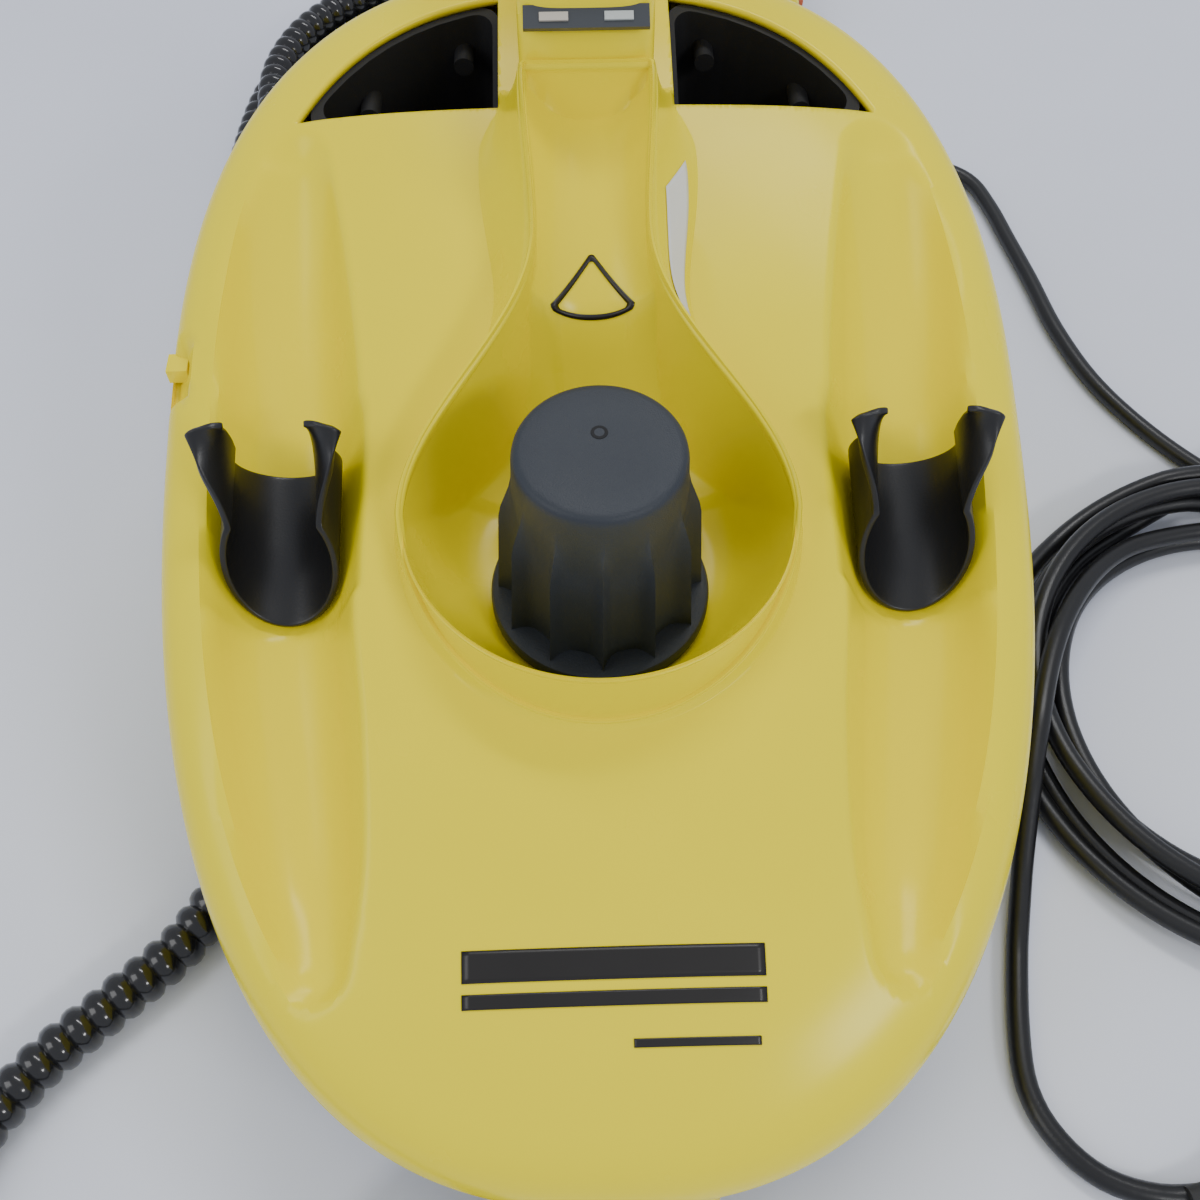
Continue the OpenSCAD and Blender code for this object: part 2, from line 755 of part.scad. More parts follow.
module caster_fork() {
  fork_top = base_z - 1;
  cheek = 2.5;
  out = caster_w + 2 * cheek + 2 * fork_gap;
  color(dark_grey) at_caster() difference() {
    union() {
      translate([0, 0, fork_top - 4]) cylinder(r = swivel_r, h = socket_top - fork_top - 1);
      translate([-out / 2, -swivel_r, fork_top - 4]) cube([out, 2 * swivel_r + trail + 4, 4]);
      for (side = [-1, 1]) translate([side * (out - cheek) / 2 - cheek / 2, trail - 5, caster_r - 5])
        cube([cheek, 10, fork_top - caster_r + 3]);
    }
    translate([0, trail, caster_r]) rotate([0, 90, 0]) cylinder(r = caster_pin_r, h = 60, center = true);
    translate([0, trail, caster_r]) rotate([0, 90, 0])
      cylinder(r = caster_r + 0.7, h = caster_w + 2 * fork_gap, center = true);
  }
}
caster_pin_r = 2;
module caster_wheel() {
  color(black) at_caster() translate([-caster_w / 2, trail, caster_r]) rotate([0, 90, 0]) difference() {
    cylinder(r = caster_r, h = caster_w);
    translate([0, 0, -1]) cylinder(r = caster_pin_r + fit, h = 40);
  }
}
module caster_axle() {
  half = caster_w / 2 + fork_gap + 2.5;
  color(alloy) at_caster() translate([-half, trail, caster_r]) rotate([0, 90, 0])
    cylinder(r = caster_pin_r, h = 2 * half);
}

// ---- Tubes swept along a route ----

function unit(v) = v / norm(v);
function route_dir(p, i) = unit(p[min(i + 1, len(p) - 1)] - p[max(i - 1, 0)]);
function side_of(d) = unit(cross(abs(d[2]) > 0.95 ? [1, 0, 0] : [0, 0, 1], d));
// A smooth curve through the route's points, with steps points in each stretch.
function between(a, b, c, d, t) =
  0.5 * (2 * b + (c - a) * t + (2 * a - 5 * b + 4 * c - d) * t * t + (3 * b - a - 3 * c + d) * t * t * t);
function smooth_route(p, steps) = concat(
  [for (i = [0 : len(p) - 2], k = [0 : steps - 1])
    between(p[max(i - 1, 0)], p[i], p[i + 1], p[min(i + 2, len(p) - 1)], k / steps)],
  [p[len(p) - 1]]
);
module swept_tube(route, r, sides, steps) {
  p = smooth_route(route, steps);
  loft([for (i = [len(p) - 1 : -1 : 0])
    let (d = route_dir(p, i), s = side_of(d), u = cross(d, s))
    [for (k = [0 : sides - 1]) p[i] + r * cos(k * 360 / sides) * s + r * sin(k * 360 / sides) * u]
  ]);
}

// ---- Mains lead ----

lead_z = lead_d / 2 + 0.2;
cord_wall_y = 172;
cord_x = 62;
cord_z = 46;
cord_hole_r = 9;
lead_coil_x = 242;
lead_coil_y = -10;
lead_coil_h = 1.8 * lead_d;
lead_route = [
  [64, 203, 44], [70, 214, 32], [82, 222, 17], [98, 226, 7], [116, 231, lead_z + 0.7], [130, 243, lead_z],
  [136, 264, lead_z], [142, 280, lead_z], [157, 289, lead_z], [173, 288, lead_z], [186, 278, lead_z],
  [192, 260, lead_z], [196, 238, lead_z], [201, 210, lead_z], [206, 178, lead_z], [216, 146, lead_z],
  [234, 116, lead_z], [256, 92, lead_z], [280, 75, lead_z], [307, 70, lead_z], [329, 81, lead_z],
  [335, 105, lead_z], [319, 124, lead_z + 1], [295, 125, lead_z + 4], [273, 111, lead_z + 7.5],
  [252, 95, lead_z + 7.8], [230, 82, lead_z + 7.5], [206, 69, lead_z + 7]
];
lead_tail_route = [
  [222, 62, 16.4], [200, 54, 16.4], [180, 36, 16.4], [162, 8, 16.4], [148, -30, 12], [138, -70, 5],
  [128, -118, lead_z], [128, -142, lead_z], [140, -160, lead_z], [158, -168, lead_z], [180, -168, 6]
];
module cord_grip() {
  color(rubber) translate([cord_x, cord_wall_y - 4, cord_z]) rotate([-90, 0, 0]) {
    difference() {
      union() {
        cylinder(r = cord_hole_r - seat, h = 8);
        translate([0, 0, 8 - eps]) cylinder(r1 = 7, r2 = lead_d / 2 + 1, h = 30);
      }
      translate([0, 0, -1]) cylinder(r = lead_d / 2, h = 20);
    }
  }
}
module mains_lead() {
  color(black) swept_tube(lead_route, lead_d / 2, 8, 2);
}
module lead_coil() {
  color(black) translate([lead_coil_x, lead_coil_y, 0]) rotate_extrude($fn = 72)
    translate([lead_coil_r - lead_coil_band, 0]) square([2 * lead_coil_band, lead_coil_h]);
}
module lead_tail() {
  color(black) swept_tube(lead_tail_route, lead_d / 2, 8, 2);
}
plug_at = [180, -168, 6];
plug_l = 34;
module plug_body() {
  color(black) translate([plug_at[0], plug_at[1], 0]) rotate([0, 0, 8]) {
    translate([lead_d, -12, 0]) cube([plug_l - lead_d, 24, 14]);
    translate([0, -6, 2]) cube([lead_d, 12, 9]);
  }
}
module plug_blades() {
  color(brass) translate([plug_at[0], plug_at[1], 0]) rotate([0, 0, 8]) {
    for (y = [-6.35, 6.35]) translate([plug_l, y - 0.75, 3.5]) cube([17, 1.5, 6.5]);
  }
}

// ---- Steam hose ----

hose_r = hose_d / 2;
hose_coil_x = -70;
hose_coil_y = 318;
hose_route = [
  [-48, -196, 26], [-64, -210, 20], [-86, -228, 12], [-112, -242, hose_r], [-142, -244, hose_r],
  [-172, -232, hose_r], [-193, -208, hose_r], [-199, -180, hose_r], [-192, -150, hose_r],
  [-175, -124, hose_r], [-154, -104, hose_r], [-134, -84, hose_r], [-122, -58, hose_r],
  [-120, -26, hose_r], [-126, 10, hose_r], [-140, 48, hose_r], [-154, 90, hose_r], [-160, 134, hose_r],
  [-161, 180, hose_r], [-161, 226, hose_r], [-160, 268, hose_r], [-160, 304, hose_r]
];
hose_tail_route = [
  [-66, 416, 24], [-48, 416, 23], [-34, 416, 20], [-20, 416, 18]
];
module steam_hose() {
  color(black) swept_tube(hose_route, hose_r, 10, 2);
}
module hose_coil() {
  color(black) translate([hose_coil_x, hose_coil_y, 0]) rotate_extrude($fn = 72)
    translate([hose_coil_r - hose_d, 0]) square([2 * hose_d, 2 * hose_d]);
}
module hose_tail() {
  color(black) swept_tube(hose_tail_route, hose_r, 10, 3);
}
sleeve_len = 26;
module hose_sleeve() {
  color(rubber) lay_gun() translate([gun_x, gun_grip_y - sleeve_len, gun_z]) rotate([-90, 0, 0])
    cylinder(r1 = hose_r + 1, r2 = hose_r + 3, h = sleeve_len);
}

// ---- Steam gun, lying on its side behind the body ----

// The gun is drawn with its grip along +Y from the origin, then laid with the grip along +X.
gun_end_x = 6;
gun_end_y = 416;
gun_x = 0;
gun_z = gun_d / 2;
gun_grip_y = 0;
gun_y = gun_grip_y + gun_grip;
gun_wall = 2.5;
gun_back_x = gun_x + 26;
gun_nose_x = gun_back_x - gun_len;
grip_r = 13;
module lay_gun() {
  translate([gun_end_x, gun_end_y, 0]) rotate(-90) children();
}
module gun_form(shrink) {
  translate([gun_nose_x + shrink, gun_y, gun_z]) rotate([0, 90, 0]) cylinder(r = gun_d / 2 - shrink, h = gun_len - 2 * shrink);
  translate([gun_x, gun_grip_y + shrink, gun_z]) rotate([-90, 0, 0])
    cylinder(r = grip_r - shrink, h = gun_grip);
}
module gun_cuts() {
  translate([gun_trigger_x - 14, gun_y - gun_d / 2 - 1, gun_z - 4]) cube([36, 14, 8]);
  translate([gun_x - 14, gun_y - 30, gun_z - 4]) cube([8, 24, 8]);
  translate([trigger_pivot[0], trigger_pivot[1], -1]) cylinder(r = 2 + fit, h = gun_d + 2);
  translate([gun_x + 2, gun_y + gun_d / 2 - 5, gun_z - 4]) cube([14, 8, 8]);
  translate([gun_nose_x - 1, gun_y, gun_z]) rotate([0, 90, 0]) cylinder(r = 9, h = 10);
  translate([gun_x, gun_grip_y - 1, gun_z]) rotate([-90, 0, 0]) cylinder(r = 6, h = 10);
}
gun_trigger_x = gun_x - 32;
module gun_shell_upper() {
  color(yellow) lay_gun() difference() {
    gun_form(0);
    gun_form(gun_wall);
    gun_cuts();
    translate([-250, -50, gun_z - 200]) cube([500, 400, 200]);
  }
}
module gun_shell_lower() {
  color(black) lay_gun() difference() {
    gun_form(0);
    gun_form(gun_wall);
    gun_cuts();
    translate([-250, -50, gun_z]) cube([500, 400, 200]);
  }
}
trigger_pivot = [gun_trigger_x + 11, gun_y - gun_d / 2 + 4];
module gun_trigger() {
  color(black) lay_gun() translate([trigger_pivot[0], trigger_pivot[1], gun_z - 3.5]) linear_extrude(7) difference() {
    hull() {
      circle(4);
      rotate(248) translate([31, 0]) circle(2.5);
    }
    circle(2 + fit);
  }
}
module gun_trigger_pin() {
  color(alloy) lay_gun() translate([trigger_pivot[0], trigger_pivot[1], gun_z - 12]) cylinder(r = 2, h = 24);
}
module gun_lock() {
  color("#e8502a") lay_gun() translate([gun_x + 3, gun_y + gun_d / 2 - 3, gun_z - 3.4]) cube([7, 6, 6.8]);
}
spigot_r = 8.6;
module gun_nozzle() {
  color(black) lay_gun() translate([gun_nose_x - 14, gun_y, gun_z]) rotate([0, 90, 0]) difference() {
    union() {
      cylinder(r = spigot_r, h = 24);
      translate([0, 0, 11]) cylinder(r = 10.5, h = 3);
    }
    translate([0, 0, -1]) cylinder(r = 3, h = 40);
  }
}

// ---- Small pieces ----

slot_depth = 6;
hook_y = 46;
hook_len = 18;
module side_hook() {
  color(yellow) translate([-body_w / 2 - 0.5, hook_y + hook_len / 2 - 7 - seat, shoulder(hook_y) - 7]) cube([slot_depth + 0.5 - seat, 7, 5]);
}
module paper_sticker() {
  color("white") translate([neck_half + seat, 62, 168]) rotate([0, 0, 0]) cube([0.4, 30, 10]);
}
module housing_screws() {
  color(alloy) for (p = post_xy) translate([p[0], p[1], base_z + 0.5]) {
    cylinder(r = 3.3, h = 3);
    cylinder(r = screw_r, h = 24);
  }
}

base_tray();
upper_housing();
funnel_bowl();
handle_cover();
handle_underside();
handle_grip();
lamp_window();
lamp_heating();
lamp_ready();
lamp_board();
cap_knob();
cap_plug();
cap_seal();
cap_spring();
tube_clip_left();
tube_clip_right();
storage_tray_left();
storage_tray_right();
hose_cover();
hose_gland();
steam_pipe();
boiler_lower();
boiler_upper();
boiler_gasket();
boiler_screws();
filler_neck();
boiler_jacket();
heating_element();
control_thermostat();
safety_cutout();
terminal_block();
inner_wires();
wheel_left();
wheel_right();
hub_cap_left();
hub_cap_right();
rear_axle();
caster_fork();
caster_wheel();
caster_axle();
cord_grip();
mains_lead();
lead_coil();
lead_tail();
plug_body();
plug_blades();
steam_hose();
hose_coil();
hose_tail();
hose_sleeve();
gun_shell_upper();
gun_shell_lower();
gun_trigger();
gun_trigger_pin();
gun_lock();
gun_nozzle();
side_hook();
paper_sticker();
housing_screws();
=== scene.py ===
# %% [markdown]
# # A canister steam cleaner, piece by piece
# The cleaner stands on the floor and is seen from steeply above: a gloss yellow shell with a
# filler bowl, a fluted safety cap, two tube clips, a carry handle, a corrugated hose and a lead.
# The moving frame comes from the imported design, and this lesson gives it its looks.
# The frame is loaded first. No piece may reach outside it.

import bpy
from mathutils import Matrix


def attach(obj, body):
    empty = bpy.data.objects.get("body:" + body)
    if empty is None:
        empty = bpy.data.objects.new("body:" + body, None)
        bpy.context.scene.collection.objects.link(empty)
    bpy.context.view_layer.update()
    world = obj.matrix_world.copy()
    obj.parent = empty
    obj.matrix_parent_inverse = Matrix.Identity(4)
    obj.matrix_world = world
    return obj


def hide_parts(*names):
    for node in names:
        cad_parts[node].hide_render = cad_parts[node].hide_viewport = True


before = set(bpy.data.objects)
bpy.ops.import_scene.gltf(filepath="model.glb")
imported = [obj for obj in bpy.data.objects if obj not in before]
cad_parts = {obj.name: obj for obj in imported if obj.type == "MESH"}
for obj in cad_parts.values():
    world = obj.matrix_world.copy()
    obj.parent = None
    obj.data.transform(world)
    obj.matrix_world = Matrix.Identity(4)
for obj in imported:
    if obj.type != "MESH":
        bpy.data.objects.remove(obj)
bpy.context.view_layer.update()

# %% [markdown]
# The shapes are worked out in millimetres, like the design, and each finished mesh is brought to
# metres as its last step. Two small easing functions and a smooth table are used all through.

# %% Units and easing
import math

import bmesh
import bpy
from mathutils import Matrix, Vector

MM = 0.001


def clamp(v, low=0.0, high=1.0):
    return max(low, min(high, v))


def ease(low, high, v):
    t = clamp((v - low) / (high - low))
    return t * t * (3 - 2 * t)


def mix(a, b, t):
    return a + (b - a) * t


def soft_min(a, b, blend):
    t = clamp(0.5 + 0.5 * (b - a) / blend)
    return mix(b, a, t) - blend * t * (1 - t)


def soft_max(a, b, blend):
    return -soft_min(-a, -b, blend)


def table(rows, v):
    """Looks v up in rows of (v, value), with a smooth curve through the rows."""
    if v <= rows[0][0]:
        return rows[0][1]
    for i in range(len(rows) - 1):
        (x0, y0), (x1, y1) = rows[i], rows[i + 1]
        if v <= x1:
            before, after = rows[max(i - 1, 0)], rows[min(i + 2, len(rows) - 1)]
            step = x1 - x0
            m0 = (y1 - before[1]) / (x1 - before[0]) * step
            m1 = (after[1] - y0) / (after[0] - x0) * step
            t = (v - x0) / step
            return (
                (2 * t**3 - 3 * t**2 + 1) * y0
                + (t**3 - 2 * t**2 + t) * m0
                + (3 * t**2 - 2 * t**3) * y1
                + (t**3 - t**2) * m1
            )
    return rows[-1][1]


# %% [markdown]
# The camera looks down at about 57 degrees from just in front of the cleaner, so the handle's
# top and the rear of the shell run out of the picture. It is made first.

# %% Camera
camera_data = bpy.data.cameras.new("camera")
camera_data.lens = 39
camera_data.sensor_width = 36
camera = bpy.data.objects.new("camera", camera_data)
bpy.context.scene.collection.objects.link(camera)
camera.location = (-0.006, -0.224, 0.417)
camera.rotation_euler = (math.radians(33), 0, math.radians(-1.7))
bpy.context.scene.camera = camera
print("camera at", tuple(round(v, 3) for v in camera.location))

# %% [markdown]
# Every piece is finished in the same way: doubles are merged, the mesh is scaled to metres,
# shaded smooth and told which body it rides on, and the nodes of the design that it stands for are hidden.

# %% Finishing a piece
UP = Vector((0, 0, 1))
SMOOTH_ANGLE = math.radians(38)
MERGE_DIST = 0.002


def finish_piece(name, bm, material, body="body", nodes=(), wall=0, bevel=0, facing=None):
    """Faces point outwards, or, on an open skin, to the side that facing names."""
    bmesh.ops.remove_doubles(bm, verts=bm.verts, dist=MERGE_DIST)
    bmesh.ops.recalc_face_normals(bm, faces=bm.faces)
    if facing and sum(f.normal.dot(facing) * f.calc_area() for f in bm.faces) < 0:
        bmesh.ops.reverse_faces(bm, faces=bm.faces)
    bmesh.ops.scale(bm, vec=(MM, MM, MM), verts=bm.verts)
    mesh = bpy.data.meshes.new(name)
    bm.to_mesh(mesh)
    bm.free()
    piece = bpy.data.objects.new(name, mesh)
    bpy.context.scene.collection.objects.link(piece)
    mesh.materials.append(material)
    mesh.shade_smooth()
    mesh.set_sharp_from_angle(angle=SMOOTH_ANGLE)
    if wall:
        solid = piece.modifiers.new("wall", "SOLIDIFY")
        solid.thickness = wall * MM
        solid.offset = -1
    if bevel:
        edge = piece.modifiers.new("edge", "BEVEL")
        edge.width = bevel * MM
        edge.segments = 3
        edge.limit_method = "ANGLE"
    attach(piece, body)
    if nodes:
        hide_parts(*nodes)
    print(name, len(mesh.polygons), "faces")
    return piece


# %% [markdown]
# ## Finishes
# The shell is glossy moulded plastic: one strong yellow, a faint orange-peel surface and slightly
# duller handled patches. The dark pieces are satin or grained plastics, rubber and bare metal.
# One maker sets the colour and the gloss, a broad noise varies the roughness, and a fine noise
# raises the surface. All the noise reads Object coordinates, so it stays on the piece.

# %% Plastic, rubber and metal
def finish(
    name, colour, roughness, spread=0.06, grain=600, relief=0.05, metallic=0.0, coat=0.0, mottle=0.03, shine=0.5
):
    material = bpy.data.materials.new(name)
    material.use_nodes = True
    nodes = material.node_tree.nodes
    links = material.node_tree.links
    shader = nodes["Principled BSDF"]
    shader.inputs["Metallic"].default_value = metallic
    shader.inputs["Coat Weight"].default_value = coat
    shader.inputs["Coat Roughness"].default_value = 0.06
    shader.inputs["Specular IOR Level"].default_value = shine
    place = nodes.new("ShaderNodeTexCoord")

    broad = nodes.new("ShaderNodeTexNoise")
    broad.inputs["Scale"].default_value = 28
    broad.inputs["Detail"].default_value = 5
    links.new(place.outputs["Object"], broad.inputs["Vector"])
    gloss = nodes.new("ShaderNodeMapRange")
    gloss.inputs["From Min"].default_value = 0.3
    gloss.inputs["From Max"].default_value = 0.75
    gloss.inputs["To Min"].default_value = roughness
    gloss.inputs["To Max"].default_value = roughness + spread
    links.new(broad.outputs["Fac"], gloss.inputs["Value"])
    links.new(gloss.outputs["Result"], shader.inputs["Roughness"])

    tint = nodes.new("ShaderNodeMix")
    tint.data_type = "RGBA"
    tint.inputs["A"].default_value = (*[c * (1 - mottle) for c in colour], 1)
    tint.inputs["B"].default_value = (*[min(1, c * (1 + mottle)) for c in colour], 1)
    links.new(broad.outputs["Fac"], tint.inputs["Factor"])
    links.new(tint.outputs["Result"], shader.inputs["Base Color"])

    fine = nodes.new("ShaderNodeTexNoise")
    fine.inputs["Scale"].default_value = grain
    fine.inputs["Detail"].default_value = 3
    links.new(place.outputs["Object"], fine.inputs["Vector"])
    raised = nodes.new("ShaderNodeBump")
    raised.inputs["Strength"].default_value = relief
    raised.inputs["Distance"].default_value = 0.0004
    links.new(fine.outputs["Fac"], raised.inputs["Height"])
    links.new(raised.outputs["Normal"], shader.inputs["Normal"])
    return material


yellow = finish("gloss_yellow", (1.0, 0.82, 0.0), 0.22, spread=0.07, grain=350, relief=0.02, mottle=0.015, shine=0.28)
slate = finish("grained_slate", (0.022, 0.028, 0.037), 0.42, spread=0.12, grain=2600, relief=0.35, mottle=0.15)
satin_black = finish("satin_black", (0.012, 0.012, 0.013), 0.3, spread=0.12, grain=1500, relief=0.1, mottle=0.1)
matt_black = finish("matt_black", (0.008, 0.008, 0.009), 0.62, spread=0.15, grain=1800, relief=0.3, mottle=0.1)
dark_grey = finish("dark_grey", (0.045, 0.048, 0.055), 0.4, spread=0.1, grain=1600, relief=0.15, mottle=0.08)
window_grey = finish("window_grey", (0.05, 0.055, 0.06), 0.12, spread=0.05, grain=500, relief=0.01, coat=0.4)
soft_black = finish("soft_black", (0.02, 0.02, 0.021), 0.55, spread=0.15, grain=2200, relief=0.3, mottle=0.1)
hose_black = finish("hose_black", (0.009, 0.009, 0.010), 0.14, spread=0.1, grain=700, relief=0.05, coat=0.3)
lead_black = finish("lead_black", (0.010, 0.010, 0.011), 0.3, spread=0.12, grain=900, relief=0.12, mottle=0.1)
brass = finish("brass", (0.62, 0.43, 0.15), 0.25, spread=0.12, grain=1200, relief=0.06, metallic=1.0, mottle=0.06)
copper = finish("copper", (0.70, 0.34, 0.20), 0.28, spread=0.15, grain=900, relief=0.05, metallic=1.0, mottle=0.08)
steel = finish("plated_steel", (0.56, 0.57, 0.58), 0.25, spread=0.15, grain=1400, relief=0.06, metallic=1.0)
cast_alloy = finish("cast_alloy", (0.60, 0.61, 0.62), 0.45, spread=0.15, grain=1500, relief=0.35, metallic=1.0)
felt = finish("needled_felt", (0.66, 0.62, 0.52), 0.95, spread=0.04, grain=1900, relief=0.9, mottle=0.12)
cream = finish("cream_ceramic", (0.76, 0.72, 0.62), 0.35, spread=0.1, grain=1000, relief=0.08)
red_wire = finish("red_wire", (0.35, 0.03, 0.02), 0.45, spread=0.1, grain=900, relief=0.06)
orange = finish("orange_plastic", (0.70, 0.13, 0.03), 0.25, spread=0.08, grain=600, relief=0.03)
green_board = finish("green_board", (0.03, 0.16, 0.06), 0.4, spread=0.1, grain=1500, relief=0.1, mottle=0.1)
paper = finish("blank_paper", (0.80, 0.80, 0.77), 0.6, spread=0.1, grain=1600, relief=0.12)
print_black = finish("printed_bar", (0.012, 0.010, 0.008), 0.3, spread=0.1, grain=900, relief=0.04)
lamp_amber = finish("lamp_amber", (0.55, 0.50, 0.42), 0.25, spread=0.06, grain=600, relief=0.04)
lamp_pale = finish("lamp_pale", (0.52, 0.55, 0.52), 0.25, spread=0.06, grain=600, relief=0.04)
print(len(bpy.data.materials), "materials")

# %% [markdown]
# ## Cords
# A cord is a circle carried along a path. The path is a smooth curve through listed points,
# then turns of a coil worked out by a loop. It is resampled to even steps, so that a corrugated
# hose can have its rings a fixed pitch apart.

# %% Paths and tubes
def smooth_path(points, steps=8):
    """A Catmull-Rom curve through the points."""
    curve = []
    last = len(points) - 1
    for i in range(last):
        a, b = Vector(points[max(i - 1, 0)]), Vector(points[i])
        c, d = Vector(points[i + 1]), Vector(points[min(i + 2, last)])
        for k in range(steps):
            t = k / steps
            curve.append(
                0.5 * (2 * b + (c - a) * t + (2 * a - 5 * b + 4 * c - d) * t**2 + (3 * b - a - 3 * c + d) * t**3)
            )
    curve.append(Vector(points[last]))
    return curve


def even_path(points, step):
    """The same path with its points a fixed step apart."""
    result = [points[0].copy()]
    carried = 0.0
    for a, b in zip(points, points[1:]):
        length = (b - a).length
        while length > 0 and carried + length >= step:
            a = a + (b - a) * ((step - carried) / length)
            length = (b - a).length
            carried = 0.0
            result.append(a.copy())
        carried += length
    return result


def path_length(points):
    return sum((b - a).length for a, b in zip(points, points[1:]))


def ring_edges(ring):
    """The edges that join the ring's own vertices."""
    members = set(ring)
    around = dict.fromkeys(e for v in ring for e in v.link_edges)
    return [e for e in around if members.issuperset(e.verts)]


def tube(points, radius_at, sides):
    """A circle made once, then extruded from point to point along the path."""
    bm = bmesh.new()
    ring = bmesh.ops.create_circle(bm, cap_ends=True, segments=sides, radius=1)["verts"]
    ring.sort(key=lambda v: math.atan2(v.co.y, v.co.x))
    side = Vector((0, 0, 1))
    last = len(points) - 1
    for i, point in enumerate(points):
        ahead = (points[min(i + 1, last)] - points[max(i - 1, 0)]).normalized()
        if abs(side.dot(ahead)) < 0.99:
            side = (side - ahead * side.dot(ahead)).normalized()
        else:
            side = Vector((1, 0, 0))
        other = ahead.cross(side)
        if i:
            made = bmesh.ops.extrude_edge_only(bm, edges=ring_edges(ring))["geom"]
            fresh = {v for v in made if isinstance(v, bmesh.types.BMVert)}
            ring = [next(e.other_vert(v) for e in v.link_edges if e.other_vert(v) in fresh) for v in ring]
        for k, v in enumerate(ring):
            turn = 2 * math.pi * k / sides
            v.co = point + (side * math.cos(turn) + other * math.sin(turn)) * radius_at(i)
    bmesh.ops.contextual_create(bm, geom=ring_edges(ring))
    return bm


# %% [markdown]
# The mains lead is 4.0 m of 7 mm round sheath. It leaves the rear of the shell on the right, runs
# out over the floor, turns round into a loose coil beside the cleaner and ends in its plug.
# Only the path's plan is listed. Its height follows from the pile: every point rests on the
# floor or on the turns that were laid before it, and the steps are eased into long low humps.

# %% Lead path
LEAD_D = 7.0
LEAD_COIL = (242.0, -10.0)
LEAD_Z = LEAD_D / 2 + 0.2
LEAD_OUT = [
    (64, 203, 44), (70, 214, 32), (82, 222, 17), (98, 226, 7), (116, 231, LEAD_Z + 0.7), (130, 243, LEAD_Z),
    (136, 264, LEAD_Z), (142, 280, LEAD_Z), (157, 289, LEAD_Z), (173, 288, LEAD_Z), (186, 278, LEAD_Z),
    (192, 260, LEAD_Z), (196, 238, LEAD_Z), (201, 210, LEAD_Z), (206, 178, LEAD_Z), (216, 146, LEAD_Z),
    (234, 116, LEAD_Z), (256, 92, LEAD_Z), (280, 75, LEAD_Z), (307, 70, LEAD_Z), (329, 81, LEAD_Z),
    (335, 105, LEAD_Z), (319, 124, LEAD_Z), (295, 125, LEAD_Z), (273, 111, LEAD_Z), (252, 95, LEAD_Z),
    (230, 82, LEAD_Z), (206, 69, LEAD_Z),
]
LEAD_TAIL = [
    (222, 62, LEAD_Z), (200, 54, LEAD_Z), (180, 36, LEAD_Z), (162, 8, LEAD_Z), (148, -30, LEAD_Z),
    (138, -70, LEAD_Z), (128, -118, LEAD_Z), (128, -142, LEAD_Z), (140, -160, LEAD_Z), (158, -168, LEAD_Z),
    (180, -168, 6),
]
COIL_TURNS = 4.975
COIL_RADII = [(0, 87), (0.45, 71), (1.3, 80), (2.2, 90), (3.0, 98.5), (3.6, 93), (4.3, 84), (COIL_TURNS, 74.7)]


def lead_coil_points():
    points = []
    steps = int(COIL_TURNS * 20)
    for i in range(1, steps):
        done = i / steps * COIL_TURNS
        turn = math.radians(114.5) + done * 2 * math.pi
        radius = table(COIL_RADII, done) + 0.9 * math.sin(done * 9.7)
        points.append((LEAD_COIL[0] + radius * math.cos(turn), LEAD_COIL[1] + radius * math.sin(turn), LEAD_Z))
    return points


def lay_on_itself(points, thick, apart=14, ease_over=6):
    """Lifts each point on to the earlier turns that it crosses, with long low humps."""
    heights = [p.z for p in points]
    for _ in range(4):
        need = [p.z for p in points]
        for i, p in enumerate(points):
            for j in range(i - apart):
                across = (points[j].x - p.x) ** 2 + (points[j].y - p.y) ** 2
                if across < thick**2:
                    need[i] = max(need[i], heights[j] + math.sqrt(thick**2 - across))
        last = len(points) - 1
        top = [
            max(need[max(i - ease_over, 0) : i + ease_over + 1]) if 20 < i < last - 8 else need[i]
            for i in range(last + 1)
        ]
        heights = []
        for i in range(last + 1):
            near = top[max(i - ease_over, 0) : i + ease_over + 1]
            heights.append(sum(near) / len(near) if 26 < i < last - 4 else top[i])
    return [Vector((p.x, p.y, z)) for p, z in zip(points, heights)]


LEAD_STEP = 4.0
LEAD_RISE_STEPS = 60
lead_plan = smooth_path(LEAD_OUT + lead_coil_points() + LEAD_TAIL)
lead_path = lay_on_itself(even_path(lead_plan, LEAD_STEP), LEAD_D)
highest = max(p.z for p in lead_path[LEAD_RISE_STEPS:])
print("lead", round(path_length(lead_path)), "mm,", round(highest, 1), "mm at its highest coil")

# %% Lead
lead = finish_piece(
    "lead", tube(lead_path, lambda i: LEAD_D / 2, 14), lead_black,
    nodes=("mains_lead", "lead_coil", "lead_tail"),
)

# %% [markdown]
# The hose is 2.0 m of 16 mm corrugated sheath. Its ribs have a fixed pitch of 7.5 mm, so the
# radius along the path is a wave with a flat crest and a narrow valley.
# It leaves the dome at the front, turns back along the left side and lies in two turns behind.

# %% Hose path
HOSE_D = 16.0
HOSE_R = HOSE_D / 2
HOSE_PITCH = 7.5
HOSE_COIL = (-70.0, 318.0, 82.0)
HOSE_OUT = [
    (-48, -196, 26), (-64, -210, 20), (-86, -228, 12), (-112, -242, HOSE_R), (-142, -244, HOSE_R),
    (-172, -232, HOSE_R), (-193, -208, HOSE_R), (-199, -180, HOSE_R), (-192, -150, HOSE_R),
    (-175, -124, HOSE_R), (-154, -104, HOSE_R), (-134, -84, HOSE_R), (-122, -58, HOSE_R),
    (-120, -26, HOSE_R), (-126, 10, HOSE_R), (-140, 48, HOSE_R), (-154, 90, HOSE_R), (-160, 134, HOSE_R),
    (-161, 180, HOSE_R), (-161, 226, HOSE_R), (-160, 268, HOSE_R), (-160, 304, HOSE_R),
]
HOSE_TAIL = [(-66, 416, 24), (-48, 416, 23), (-34, 416, 20), (-20, 416, 18)]


